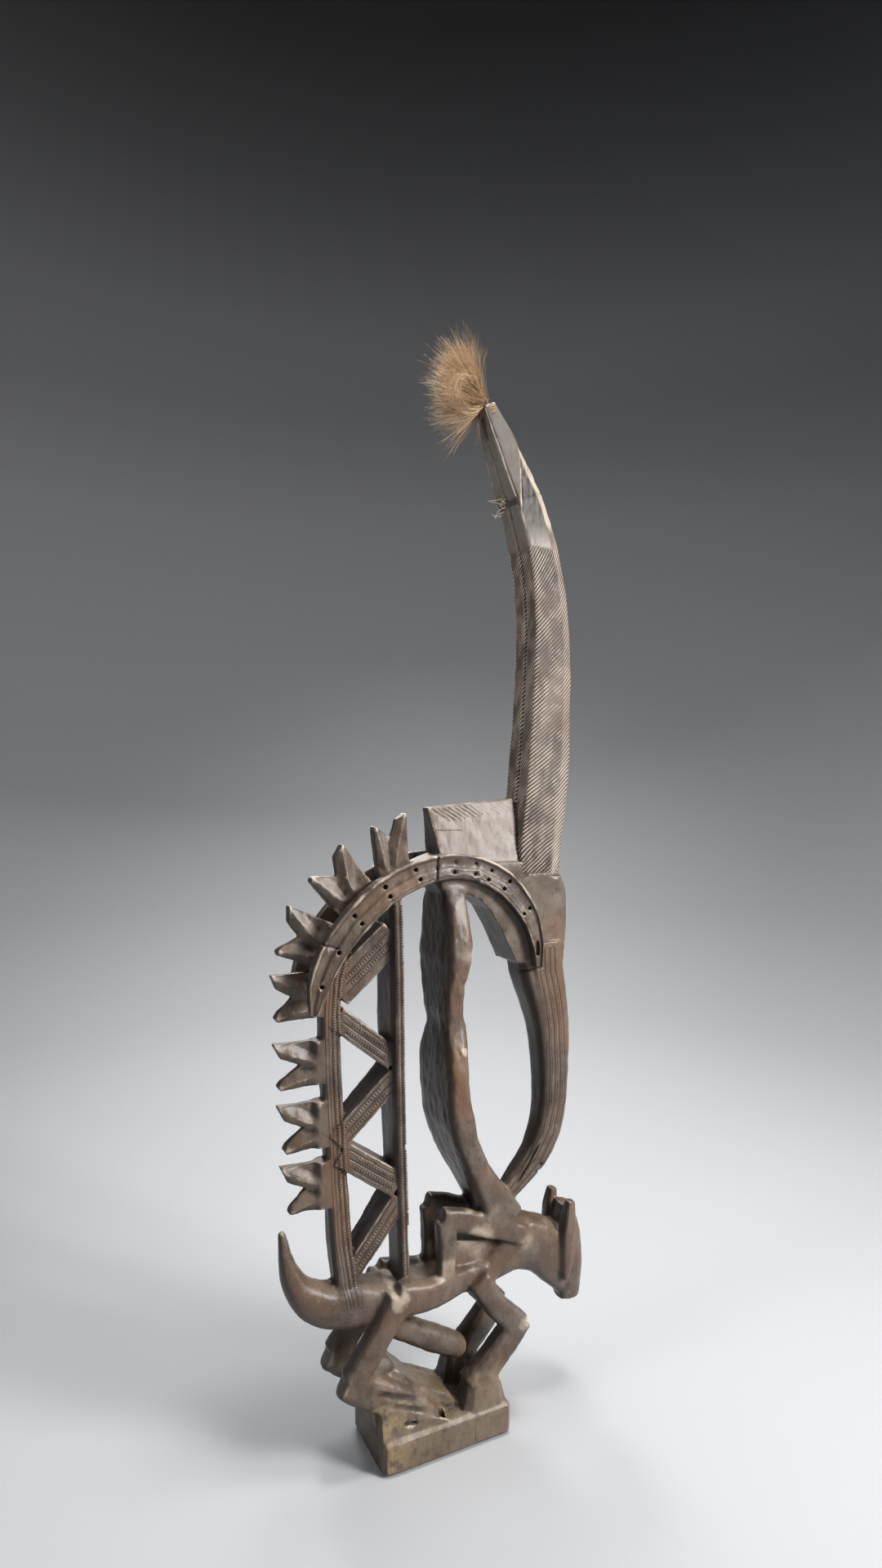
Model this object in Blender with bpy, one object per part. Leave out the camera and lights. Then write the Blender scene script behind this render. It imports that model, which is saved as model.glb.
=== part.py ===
"""Chiwara headdress: one carving with its plinth, and the hair tuft tied to its horn tips.

Metres, +Z up. +X is the way the animals face, and the carving is the same on both sides of Y = 0.
The origin is the middle of the plinth's underside.
"""
from math import cos, sin, pi, radians, copysign

import bpy
import bmesh
from mathutils import Matrix, Vector

# Plinth, and the wedge under the hind feet
PLINTH_LENGTH = 0.127
PLINTH_WIDTH = 0.075
PLINTH_HEIGHT = 0.030
PLINTH_CHAMFER = 0.0035
TIE_HOLE_DIAMETER = 0.0065
TIE_HOLE_SIDES = 10
TIE_HOLE_X = -0.004
TIE_HOLE_Y = 0.0285
WEDGE_FOOT_X = 0.012
WEDGE_FOOT_DROP = 0.0042
WEDGE_INSET = 0.0006
WEDGE_BACK_HEIGHT = 0.030
WEDGE_WIDTH = 0.070
WEDGE_TOP_WIDTH = 0.060
FOOT_BED = (
    (-0.062, 0.024), (-0.078, 0.080), (-0.044, 0.080), (-0.024, 0.060), (0.010, 0.042), (0.022, 0.024))
FOOT_BED_WIDTH = 0.040

# Distances from the middle plane to the middle of each pair
HIND_LEG_Y = 0.0215
FORELEG_Y = 0.0205
UPPER_LEG_Y = 0.0165
LOWER_EAR_Y = 0.0160
HORN_Y = 0.0107
EAR_ARCH_Y = 0.0245

# Long stations are (x, y, z, depth in the side view, width across)
LOWER_BODY = (
    (-0.096, 0, 0.142, 0.036, 0.034),
    (-0.078, 0, 0.139, 0.042, 0.038),
    (-0.052, 0, 0.137, 0.034, 0.042),
    (-0.020, 0, 0.137, 0.026, 0.047),
    (0.010, 0, 0.138, 0.024, 0.045),
    (0.032, 0, 0.139, 0.027, 0.038),
    (0.054, 0, 0.141, 0.030, 0.038),
    (0.084, 0, 0.155, 0.050, 0.037),
    (0.112, 0, 0.148, 0.052, 0.036),
    (0.136, 0, 0.132, 0.046, 0.036),
)
LOWER_FACE = (
    (0.146, 0, 0.181, 0.012, 0.020),
    (0.147, 0, 0.165, 0.020, 0.031),
    (0.149, 0, 0.140, 0.026, 0.033),
    (0.149, 0, 0.116, 0.028, 0.030),
    (0.149, 0, 0.098, 0.027, 0.025),
    (0.149, 0, 0.086, 0.022, 0.021),
)
LOWER_EAR = (
    (0.137, 0, 0.112, 0.007, 0.008),
    (0.137, 0, 0.130, 0.013, 0.014),
    (0.138, 0, 0.152, 0.015, 0.016),
    (0.141, 0, 0.174, 0.013, 0.014),
    (0.1435, 0, 0.189, 0.008, 0.009),
)
TAIL = (
    (-0.084, 0, 0.140, 0.040, 0.040),
    (-0.102, 0, 0.143, 0.039, 0.036),
    (-0.117, 0, 0.151, 0.034, 0.032),
    (-0.130, 0, 0.166, 0.024, 0.026),
    (-0.1375, 0, 0.185, 0.016, 0.018),
    (-0.1410, 0, 0.205, 0.010, 0.012),
    (-0.1425, 0, 0.216, 0.007, 0.008),
)
SHEATH = (
    (-0.064, 0, 0.130, 0.030, 0.030),
    (-0.034, 0, 0.106, 0.024, 0.024),
    (0.000, 0, 0.086, 0.024, 0.023),
    (0.022, 0, 0.073, 0.023, 0.021),
    (0.030, 0, 0.068, 0.019, 0.017),
    (0.034, 0, 0.066, 0.008, 0.008),
)
HIND_THIGH = (
    (0.034, -0.0085, 0.1400, 0.020, 0.008),
    (0.010, -0.0035, 0.1395, 0.024, 0.014),
    (-0.018, 0, 0.1400, 0.027, 0.018),
    (-0.045, 0, 0.1435, 0.031, 0.018),
)
HIND_SHIN = (
    (-0.042, 0, 0.146, 0.026, 0.018),
    (-0.053, 0, 0.128, 0.025, 0.018),
    (-0.072, 0, 0.102, 0.024, 0.018),
    (-0.086, 0, 0.084, 0.026, 0.018),
)
HIND_FOOT = (
    (-0.095, 0, 0.084, 0.022, 0.0170),
    (-0.070, 0, 0.070, 0.030, 0.0200),
    (-0.040, 0, 0.053, 0.027, 0.0205),
    (-0.016, 0, 0.038, 0.019, 0.0190),
    (0.002, 0, 0.029, 0.010, 0.0130),
)
FORELEG_UPPER = (
    (0.037, 0, 0.141, 0.024, 0.018),
    (0.056, 0, 0.112, 0.023, 0.0185),
    (0.080, 0, 0.087, 0.025, 0.0180),
)
FORELEG_LOWER = (
    (0.083, 0, 0.094, 0.026, 0.0170),
    (0.064, 0, 0.074, 0.026, 0.0190),
    (0.040, 0, 0.052, 0.028, 0.020),
    (0.034, 0, 0.044, 0.034, 0.026),
)
HOOF = (
    (0.037, 0, 0.058, 0.026, 0.0200),
    (0.0395, 0, 0.044, 0.038, 0.0270),
    (0.0390, 0, 0.026, 0.048, 0.0312),
)
JAW = (
    (0.112, 0, 0.142, 0.040, 0.034),
    (0.134, 0, 0.118, 0.034, 0.028),
    (0.150, 0, 0.094, 0.018, 0.020),
)
UPPER_THIGH = (
    (0.002, 0, 0.2030, 0.018, 0.014),
    (0.026, 0, 0.1955, 0.022, 0.014),
    (0.058, 0, 0.1820, 0.022, 0.014),
    (0.090, 0, 0.1680, 0.020, 0.014),
)
UPPER_SHIN = (
    (0.004, 0, 0.201, 0.018, 0.0130),
    (0.007, 0, 0.180, 0.019, 0.0145),
    (0.006, 0, 0.146, 0.017, 0.0150),
)
TORSO = (
    (0.074, 0, 0.182, 0.039, 0.040),
    (0.058, 0, 0.206, 0.033, 0.050),
    (0.043, 0, 0.230, 0.028, 0.066),
    (0.028, 0, 0.256, 0.025, 0.077),
    (0.0165, 0, 0.290, 0.026, 0.075),
    (0.0125, 0, 0.330, 0.0235, 0.076),
    (0.0130, 0, 0.352, 0.0235, 0.069),
    (0.0150, 0, 0.374, 0.0235, 0.051),
    (0.0125, 0, 0.392, 0.0210, 0.055),
    (0.0110, 0, 0.412, 0.0205, 0.066),
    (0.0140, 0, 0.440, 0.0265, 0.075),
    (0.0145, 0, 0.466, 0.0260, 0.069),
    (0.0135, 0, 0.492, 0.0245, 0.056),
    (0.0140, 0, 0.508, 0.0230, 0.038),
)
UPPER_FACE = (
    (0.112, 0, 0.446, 0.054, 0.046),
    (0.113, 0, 0.418, 0.050, 0.046),
    (0.121, 0, 0.388, 0.044, 0.042),
    (0.127, 0, 0.360, 0.040, 0.035),
    (0.129, 0, 0.325, 0.035, 0.033),
    (0.129, 0, 0.290, 0.032, 0.031),
    (0.123, 0, 0.258, 0.031, 0.026),
    (0.110, 0, 0.234, 0.029, 0.022),
    (0.095, 0, 0.219, 0.026, 0.018),
    (0.079, 0, 0.204, 0.022, 0.014),
)
HORN = (
    (0.1110, 0, 0.508, 0.038, 0.0185),
    (0.1110, 0, 0.535, 0.041, 0.0185),
    (0.1165, 0, 0.575, 0.042, 0.0185),
    (0.1205, 0, 0.615, 0.042, 0.0185),
    (0.1225, 0, 0.665, 0.041, 0.0185),
    (0.1230, 0, 0.715, 0.040, 0.0185),
    (0.1200, 0, 0.765, 0.037, 0.0185),
    (0.1130, 0, 0.812, 0.034, 0.0185),
    (0.1010, 0, 0.857, 0.031, 0.0180),
    (0.0860, 0, 0.893, 0.028, 0.0160),
    (0.0710, 0, 0.927, 0.021, 0.0125),
    (0.0575, 0, 0.956, 0.013, 0.0085),
)
HORN_PROFILE = (
    (-0.9, -1), (0.9, -1), (1, -0.85), (1, 0.4), (0.45, 1), (-0.88, 1), (-1, 0.8), (-1, -0.85))
HORN_TIP_CLOSING = 0.0060
HORN_CLOSING_FROM = 7
HORN_CLOSING_POWER = 1.3
MANE_BACK = (
    (-0.082, 0, 0.138, 0.022, 0.026),
    (-0.087, 0, 0.165, 0.020, 0.023),
    (-0.0910, 0, 0.200, 0.020, 0.021),
    (-0.0935, 0, 0.245, 0.0195, 0.017),
    (-0.0965, 0, 0.300, 0.0190, 0.016),
    (-0.0990, 0, 0.350, 0.0185, 0.017),
    (-0.1005, 0, 0.395, 0.0190, 0.019),
    (-0.0985, 0, 0.430, 0.020, 0.020),
    (-0.0900, 0, 0.460, 0.020, 0.020),
    (-0.0740, 0, 0.485, 0.020, 0.021),
    (-0.0500, 0, 0.503, 0.021, 0.024),
    (-0.0250, 0, 0.514, 0.024, 0.028),
    (0.0060, 0, 0.522, 0.028, 0.032),
)
MANE_POST = (
    (-0.0325, 0, 0.142, 0.010, 0.032),
    (-0.0335, 0, 0.180, 0.010, 0.034),
    (-0.0365, 0, 0.240, 0.0115, 0.037),
    (-0.0398, 0, 0.310, 0.012, 0.043),
    (-0.0415, 0, 0.380, 0.012, 0.047),
    (-0.0422, 0, 0.450, 0.012, 0.046),
    (-0.0425, 0, 0.505, 0.013, 0.040),
)
EAR_ARCH_WIDTH = 0.0095
EAR_ARCH = (
    (0.100, 0, 0.424, 0.010, EAR_ARCH_WIDTH),
    (0.099, 0, 0.446, 0.018, EAR_ARCH_WIDTH),
    (0.092, 0, 0.470, 0.020, EAR_ARCH_WIDTH),
    (0.081, 0, 0.487, 0.021, EAR_ARCH_WIDTH),
    (0.063, 0, 0.506, 0.023, EAR_ARCH_WIDTH),
    (0.035, 0, 0.520, 0.023, EAR_ARCH_WIDTH),
    (0.004, 0, 0.5235, 0.0235, EAR_ARCH_WIDTH),
    (-0.026, 0, 0.518, 0.025, EAR_ARCH_WIDTH),
    (-0.058, 0, 0.503, 0.026, EAR_ARCH_WIDTH),
    (-0.087, 0, 0.478, 0.026, EAR_ARCH_WIDTH),
    (-0.108, 0, 0.450, 0.023, EAR_ARCH_WIDTH),
    (-0.118, 0, 0.426, 0.018, 0.0090),
    (-0.122, 0, 0.403, 0.006, 0.0070),
)
EAR_RIM = 0.17
EAR_GROOVE = 0.0022
EAR_EDGE_BEVEL = 0.1
EAR_EDGE_DROP = 0.25

# Flat parts in the side view
HEAD_CORE = (
    (-0.002, 0.524), (0.000, 0.500), (0.024, 0.497), (0.040, 0.492), (0.052, 0.481), (0.064, 0.461),
    (0.073, 0.443), (0.080, 0.428), (0.133, 0.428), (0.1365, 0.460), (0.1370, 0.500), (0.1345, 0.524),
)
HEAD_CORE_WIDTH = 0.040
HEAD_BLOCK_BACK = -0.007
HEAD_BLOCK_FRONT = 0.084
HEAD_BLOCK_BOTTOM = 0.515
HEAD_BLOCK_TOP = 0.579
HEAD_BLOCK_LEAN = 0.011
HEAD_BLOCK_WIDTH = 0.0392
HEAD_BLOCK_RIDGE = 0.012
THIGH_WEB = ((0.014, 0.140), (0.014, 0.176), (0.050, 0.169), (0.090, 0.160), (0.090, 0.140))
THIGH_WEB_WIDTH = 0.022

# Zigzag struts: back end (x, z), front end (x, z), thickness in the side view
STRUTS = (
    ((-0.096, 0.416), (-0.044, 0.464), 0.030),
    ((-0.096, 0.395), (-0.044, 0.353), 0.020),
    ((-0.096, 0.286), (-0.042, 0.338), 0.019),
    ((-0.092, 0.276), (-0.040, 0.240), 0.022),
    ((-0.088, 0.162), (-0.038, 0.228), 0.018),
)
STRUT_BACK_WIDTH = 0.020
STRUT_FRONT_WIDTH = 0.031

# Mane fins: root (x, z), outward angle, reach of the upper and lower tip and of the notch, half spread
FINS = (
    (-0.1000, 0.248, 180, 0.044, 0.038, 0.021, 0.0225),
    (-0.1020, 0.301, 180, 0.045, 0.039, 0.021, 0.0220),
    (-0.1035, 0.355, 180, 0.047, 0.043, 0.022, 0.0210),
    (-0.1060, 0.414, 180, 0.047, 0.043, 0.028, 0.0215),
    (-0.1020, 0.453, 155, 0.049, 0.042, 0.029, 0.0225),
    (-0.0760, 0.492, 128, 0.050, 0.045, 0.031, 0.0230),
    (-0.0400, 0.510, 95, 0.061, 0.052, 0.040, 0.0180),
)
FIN_WIDTH = 0.017
FIN_TIP_WIDTH = 0.011

# A fin's outline: shares of its upper reach, lower reach and notch, and of its half spread
FIN_OUTLINE = (
    (0, 0, 0, 1), (1, 0, 0, 1), (0.74, 0, 0.26, 0.42), (0, 0, 1, 0.06),
    (0, 0.94, 0, -0.52), (0, 1, 0, -0.74), (0, 0.95, 0, -0.88), (0, 0, 0, -0.80))

WELD_DISTANCE = 0.00005

# Hair tuft, from its binding at the horn tips
TUFT = (
    (0.0568, 0, 0.9585, 0.006, 0.012),
    (0.0450, 0, 0.9680, 0.044, 0.022),
    (0.0340, 0, 0.9650, 0.080, 0.034),
    (0.0200, 0, 0.9600, 0.106, 0.042),
    (0.0050, 0, 0.9570, 0.098, 0.042),
    (-0.0060, 0, 0.9520, 0.066, 0.034),
    (-0.0130, 0, 0.9480, 0.030, 0.018),
)


def clear_scene():
    for item in list(bpy.data.objects):
        bpy.data.objects.remove(item)


def new_collection(name):
    collection = bpy.data.collections.new(name)
    bpy.context.scene.collection.children.link(collection)
    return collection


def new_material(name, colour, roughness):
    material = bpy.data.materials.new(name)
    material.use_nodes = True
    shader = material.node_tree.nodes["Principled BSDF"]
    shader.inputs["Base Color"].default_value = (*colour, 1.0)
    shader.inputs["Roughness"].default_value = roughness
    shader.inputs["Metallic"].default_value = 0.0
    return material


def add_object(name, bm, collection):
    """Turn a finished bmesh into an object in the given collection."""
    bmesh.ops.recalc_face_normals(bm, faces=bm.faces)
    mesh = bpy.data.meshes.new(name)
    bm.to_mesh(mesh)
    bm.free()
    item = bpy.data.objects.new(name, mesh)
    collection.objects.link(item)
    return item


def smooth_path(stations, steps):
    """Put steps stretches between each two stations, on a Catmull-Rom curve through them all."""
    path = []
    for index in range(len(stations) - 1):
        before = stations[max(index - 1, 0)]
        start = stations[index]
        end = stations[index + 1]
        after = stations[min(index + 2, len(stations) - 1)]
        for step in range(steps):
            t = step / steps
            path.append(tuple(
                0.5 * (2 * b + (c - a) * t + (2 * a - 5 * b + 4 * c - d) * t * t
                       + (3 * b - a - 3 * c + d) * t ** 3)
                for a, b, c, d in zip(before, start, end, after)))
    path.append(stations[-1])
    return path


def rounded_profile(count, power):
    """Unit outline between a circle (power 2) and a square (large power), as (across, along) pairs."""
    outline = []
    for index in range(count):
        angle = 2 * pi * (index + 0.5) / count
        across = copysign(abs(cos(angle)) ** (2 / power), cos(angle))
        along = copysign(abs(sin(angle)) ** (2 / power), sin(angle))
        outline.append((across, along))
    return outline


def grooved_profile(rim, groove):
    """Unit outline of an ear plate: two rims on its outer side with a shallow channel between them."""
    inner = 1 - 2 * rim
    floor = 1 - 2 * groove
    edge = 1 - EAR_EDGE_BEVEL
    shoulder = 1 - EAR_EDGE_DROP
    return [(-1, -1), (1, -1), (1, shoulder), (edge, 1), (inner + EAR_EDGE_BEVEL, 1), (inner, floor),
            (-inner, floor), (-inner - EAR_EDGE_BEVEL, 1), (-edge, 1), (-1, shoulder)]


def loft(name, stations, profile, collection, steps=2, side_y=0.0, mirror=1):
    """Sweep a unit outline along the side view's plane, sized at each station."""
    path = smooth_path(stations, steps)
    bm = bmesh.new()
    rings = []
    for index, (x, y, z, depth, width) in enumerate(path):
        ahead = path[min(index + 1, len(path) - 1)]
        behind = path[max(index - 1, 0)]
        run = Vector((ahead[0] - behind[0], 0, ahead[2] - behind[2])).normalized()
        normal = Vector((run.z, 0, -run.x))
        middle = Vector((x, mirror * (side_y + y), z))
        ring = []
        for across, along in profile:
            point = middle + normal * (across * depth / 2)
            point.y += mirror * along * width / 2
            ring.append(bm.verts.new(point))
        rings.append(ring)
    for lower, upper in zip(rings, rings[1:]):
        for index in range(len(profile)):
            after = (index + 1) % len(profile)
            bm.faces.new((lower[index], lower[after], upper[after], upper[index]))
    bm.faces.new(list(reversed(rings[0])))
    bm.faces.new(rings[-1])
    return add_object(name, bm, collection)


def pair(name, stations, profile, collection, side_y, steps=2):
    """The same loft on both sides of the middle plane."""
    return [loft(name + "_right", stations, profile, collection, steps, side_y, 1),
            loft(name + "_left", stations, profile, collection, steps, side_y, -1)]


def plate(name, outline, width, collection):
    """A flat part: a filled outline in the side view with its thickness across."""
    curve = bpy.data.curves.new(name, "CURVE")
    curve.dimensions = "2D"
    curve.fill_mode = "BOTH"
    curve.extrude = width / 2
    spline = curve.splines.new("POLY")
    spline.points.add(len(outline) - 1)
    for point, (x, z) in zip(spline.points, outline):
        point.co = (x, z, 0, 1)
    spline.use_cyclic_u = True
    guide = bpy.data.objects.new(name + "_outline", curve)
    collection.objects.link(guide)
    bpy.context.view_layer.update()
    mesh = bpy.data.meshes.new_from_object(guide.evaluated_get(bpy.context.evaluated_depsgraph_get()))
    bpy.data.objects.remove(guide)
    bm = bmesh.new()
    bm.from_mesh(mesh)
    bmesh.ops.remove_doubles(bm, verts=bm.verts, dist=WELD_DISTANCE)
    bmesh.ops.rotate(bm, verts=bm.verts, matrix=Matrix.Rotation(pi / 2, 3, "X"))
    return add_object(name, bm, collection)


def box(name, size, centre, collection, chamfer=0.0):
    bm = bmesh.new()
    bmesh.ops.create_cube(bm, size=1.0)
    bmesh.ops.scale(bm, vec=size, verts=bm.verts)
    bmesh.ops.translate(bm, vec=centre, verts=bm.verts)
    if chamfer:
        bmesh.ops.bevel(bm, geom=bm.edges, offset=chamfer, segments=1, affect="EDGES")
    return add_object(name, bm, collection)


def make_plinth(forms):
    centre = (0, 0, PLINTH_HEIGHT / 2)
    block = box("plinth", (PLINTH_LENGTH, PLINTH_WIDTH, PLINTH_HEIGHT), centre, forms, PLINTH_CHAMFER)
    back = WEDGE_INSET - PLINTH_LENGTH / 2
    top = PLINTH_HEIGHT
    outline = (
        (back, top / 2), (back, top + WEDGE_BACK_HEIGHT), (WEDGE_FOOT_X, top - WEDGE_FOOT_DROP),
        (WEDGE_FOOT_X, top / 2))
    wedge = plate("foot_wedge", outline, WEDGE_WIDTH, forms)
    for vert in wedge.data.vertices:
        if vert.co.z > top:
            vert.co.y *= WEDGE_TOP_WIDTH / WEDGE_WIDTH
    return [block, wedge, plate("foot_bed", FOOT_BED, FOOT_BED_WIDTH, forms)]


def tie_hole_cutters(forms):
    """Upright holes near both long edges, for the cord that ties the headdress to a cap."""
    cutters = []
    for side in (-1, 1):
        bm = bmesh.new()
        bmesh.ops.create_cone(
            bm, cap_ends=True, segments=TIE_HOLE_SIDES, radius1=TIE_HOLE_DIAMETER / 2,
            radius2=TIE_HOLE_DIAMETER / 2, depth=PLINTH_HEIGHT * 3)
        bmesh.ops.translate(bm, vec=(TIE_HOLE_X, side * TIE_HOLE_Y, PLINTH_HEIGHT / 2), verts=bm.verts)
        cutters.append(add_object("tie_hole", bm, forms))
    return cutters


def make_lower_animal(forms):
    soft = rounded_profile(12, 3.0)
    round_form = rounded_profile(10, 2.2)
    limb = rounded_profile(8, 4.0)
    pieces = [
        loft("lower_body", LOWER_BODY, soft, forms),
        loft("lower_face", LOWER_FACE, soft, forms),
        loft("jaw", JAW, soft, forms, 1),
        loft("tail", TAIL, round_form, forms),
        loft("sheath", SHEATH, round_form, forms),
    ]
    pieces += pair("lower_ear", LOWER_EAR, limb, forms, LOWER_EAR_Y, 1)
    pieces += pair("hind_thigh", HIND_THIGH, limb, forms, HIND_LEG_Y)
    pieces += pair("hind_shin", HIND_SHIN, limb, forms, HIND_LEG_Y)
    pieces += pair("hind_foot", HIND_FOOT, limb, forms, HIND_LEG_Y)
    pieces += pair("foreleg_upper", FORELEG_UPPER, limb, forms, FORELEG_Y, 1)
    pieces += pair("foreleg_lower", FORELEG_LOWER, limb, forms, FORELEG_Y, 1)
    pieces += pair("hoof", HOOF, limb, forms, FORELEG_Y, 1)
    return pieces


def make_upper_figure(forms):
    limb = rounded_profile(8, 4.0)
    pieces = [
        loft("torso", TORSO, rounded_profile(12, 5.0), forms),
        loft("upper_face", UPPER_FACE, rounded_profile(12, 3.4), forms),
        plate("head_core", HEAD_CORE, HEAD_CORE_WIDTH, forms),
        plate("thigh_web", THIGH_WEB, THIGH_WEB_WIDTH, forms),
        make_head_block(forms),
    ]
    pieces += pair("upper_thigh", UPPER_THIGH, limb, forms, UPPER_LEG_Y, 1)
    pieces += pair("upper_shin", UPPER_SHIN, limb, forms, UPPER_LEG_Y, 1)
    grooved = grooved_profile(EAR_RIM, EAR_GROOVE / EAR_ARCH_WIDTH)
    pieces += pair("ear_arch", EAR_ARCH, grooved, forms, EAR_ARCH_Y)
    return pieces


def make_head_block(forms):
    """Block behind the horns: a trapezoid across, narrow at its ridge, with a leaning back face."""
    bm = bmesh.new()
    bmesh.ops.create_cube(bm, size=1.0)
    for vert in bm.verts:
        high = vert.co.z > 0
        width = HEAD_BLOCK_RIDGE if high else HEAD_BLOCK_WIDTH
        vert.co.y *= width
        if vert.co.x < 0:
            vert.co.x = HEAD_BLOCK_BACK + (0 if high else HEAD_BLOCK_LEAN)
        else:
            vert.co.x = HEAD_BLOCK_FRONT
        vert.co.z = HEAD_BLOCK_TOP if high else HEAD_BLOCK_BOTTOM
    return add_object("head_block", bm, forms)


def make_horns(forms):
    """Two horns side by side that close towards each other at the tips."""
    last = len(HORN) - 1
    stations = []
    for index, (x, y, z, depth, width) in enumerate(HORN):
        closing = max(index - HORN_CLOSING_FROM, 0) / (last - HORN_CLOSING_FROM)
        stations.append((x, -HORN_TIP_CLOSING * closing ** HORN_CLOSING_POWER, z, depth, width))
    return pair("horn", stations, HORN_PROFILE, forms, HORN_Y)


def strut(name, back, front, thickness, forms):
    stations = ((back[0], 0, back[1], thickness, STRUT_BACK_WIDTH),
                (front[0], 0, front[1], thickness, STRUT_FRONT_WIDTH))
    square = [(-1, -1), (1, -1), (1, 1), (-1, 1)]
    return loft(name, stations, square, forms, 1)


def fin(name, root, angle, upper, lower, notch, spread, forms):
    """A swallow-tailed fin, thinner at its tips than at its root."""
    turn = radians(angle)
    points = []
    for upper_share, lower_share, notch_share, spread_share in FIN_OUTLINE:
        out = upper_share * upper + lower_share * lower + notch_share * notch
        along = spread_share * spread
        points.append((root[0] + out * cos(turn) + along * sin(turn),
                       root[1] + out * sin(turn) - along * cos(turn)))
    item = plate(name, points, FIN_WIDTH, forms)
    for vert in item.data.vertices:
        out = (vert.co.x - root[0]) * cos(turn) + (vert.co.z - root[1]) * sin(turn)
        share = min(max(out / upper, 0), 1)
        vert.co.y *= 1 + share * (FIN_TIP_WIDTH / FIN_WIDTH - 1)
    return item


def make_mane(forms):
    pieces = [
        loft("mane_back", MANE_BACK, rounded_profile(8, 4.0), forms),
        loft("mane_post", MANE_POST, rounded_profile(8, 4.0), forms, 1),
    ]
    for index, (back, front, thickness) in enumerate(STRUTS):
        pieces.append(strut(f"strut_{index + 1}", back, front, thickness, forms))
    for index, (x, z, angle, upper, lower, notch, spread) in enumerate(FINS):
        pieces.append(fin(f"fin_{index + 1}", (x, z), angle, upper, lower, notch, spread, forms))
    return pieces


def boolean(item, other, operation):
    modifier = item.modifiers.new(other.name, "BOOLEAN")
    modifier.operation = operation
    modifier.solver = "EXACT"
    modifier.object = other
    other.hide_render = True
    other.display_type = "WIRE"


def make_carving(parts, forms):
    """Join every carved form to the plinth, then cut the tie holes."""
    pieces = make_plinth(forms)
    pieces += make_lower_animal(forms)
    pieces += make_upper_figure(forms)
    pieces += make_mane(forms)
    pieces += make_horns(forms)
    carving = bpy.data.objects.new("carved_headdress", pieces[0].data.copy())
    parts.objects.link(carving)
    for piece in pieces[1:]:
        boolean(carving, piece, "UNION")
    bpy.data.objects.remove(pieces[0])
    for cutter in tie_hole_cutters(forms):
        boolean(carving, cutter, "DIFFERENCE")
    return carving


def main():
    clear_scene()
    parts = new_collection("chiwara_headdress")
    forms = new_collection("working_forms")
    wood = new_material("carved_wood", (0.145, 0.105, 0.080), 0.55)
    hair = new_material("tied_hair", (0.42, 0.29, 0.16), 0.70)
    carving = make_carving(parts, forms)
    carving.data.materials.append(wood)
    tuft = loft("hair_tuft", TUFT, rounded_profile(12, 2.0), parts)
    tuft.data.materials.append(hair)
    tuft.data.shade_smooth()


main()
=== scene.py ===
"""Looks of the chiwara headdress: carved wood, hatched horns and hair tuft, on a pale studio floor."""

from math import cos, hypot, pi, radians, sin

import bmesh
import bpy
import numpy as np
from mathutils import Matrix, Vector
from mathutils.bvhtree import BVHTree


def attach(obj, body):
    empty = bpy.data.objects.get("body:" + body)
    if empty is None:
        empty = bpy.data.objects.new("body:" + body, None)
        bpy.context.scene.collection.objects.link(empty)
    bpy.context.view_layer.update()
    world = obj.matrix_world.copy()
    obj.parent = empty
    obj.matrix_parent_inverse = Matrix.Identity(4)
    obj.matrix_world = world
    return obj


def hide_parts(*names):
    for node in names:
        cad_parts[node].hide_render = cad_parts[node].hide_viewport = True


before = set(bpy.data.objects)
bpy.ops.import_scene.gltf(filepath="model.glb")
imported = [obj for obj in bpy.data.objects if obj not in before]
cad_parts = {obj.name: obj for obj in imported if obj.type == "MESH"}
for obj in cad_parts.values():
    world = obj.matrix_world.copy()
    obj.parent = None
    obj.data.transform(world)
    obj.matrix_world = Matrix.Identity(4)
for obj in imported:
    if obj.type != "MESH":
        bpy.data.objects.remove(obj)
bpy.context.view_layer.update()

# Fineness of the carved surface
VOXEL = 0.0009
WOOD_TRIANGLES = 194000
ROUNDING_PASSES = 90
SOFTENING_PASSES = 3

# Lines of the carving in the side view, as (x, z)
TORSO_LINE = (
    (0.074, 0.182), (0.058, 0.206), (0.043, 0.230), (0.028, 0.256), (0.0165, 0.290), (0.0125, 0.330),
    (0.0130, 0.352), (0.0150, 0.374), (0.0125, 0.392), (0.0110, 0.412), (0.0140, 0.440), (0.0145, 0.466),
    (0.0135, 0.492), (0.0140, 0.508))
FACE_LINE = (
    (0.112, 0.446), (0.113, 0.418), (0.121, 0.388), (0.127, 0.360), (0.129, 0.325), (0.129, 0.290),
    (0.123, 0.258), (0.110, 0.234), (0.095, 0.219), (0.079, 0.204))
TAIL_LINE = (
    (-0.084, 0.140), (-0.102, 0.143), (-0.117, 0.151), (-0.130, 0.166), (-0.1375, 0.185), (-0.1410, 0.205),
    (-0.1425, 0.216))
BODY_LINE = (
    (-0.096, 0.142), (-0.052, 0.137), (0.010, 0.138), (0.054, 0.141), (0.084, 0.155), (0.112, 0.148),
    (0.136, 0.132), (0.149, 0.110), (0.149, 0.086))
SHEATH_LINE = ((-0.064, 0.130), (-0.034, 0.106), (0.000, 0.086), (0.022, 0.073), (0.032, 0.067))
HIND_LEG_LINE = (
    (0.034, 0.140), (-0.018, 0.140), (-0.045, 0.1435), (-0.053, 0.128), (-0.072, 0.102), (-0.088, 0.084))
HIND_FOOT_LINE = ((-0.095, 0.084), (-0.070, 0.070), (-0.040, 0.053), (-0.016, 0.038), (0.002, 0.029))
FORELEG_LINE = (
    (0.037, 0.141), (0.056, 0.112), (0.082, 0.090), (0.064, 0.074), (0.040, 0.052), (0.038, 0.030))
UPPER_THIGH_LINE = ((0.002, 0.203), (0.026, 0.1955), (0.058, 0.182), (0.090, 0.168))
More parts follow.
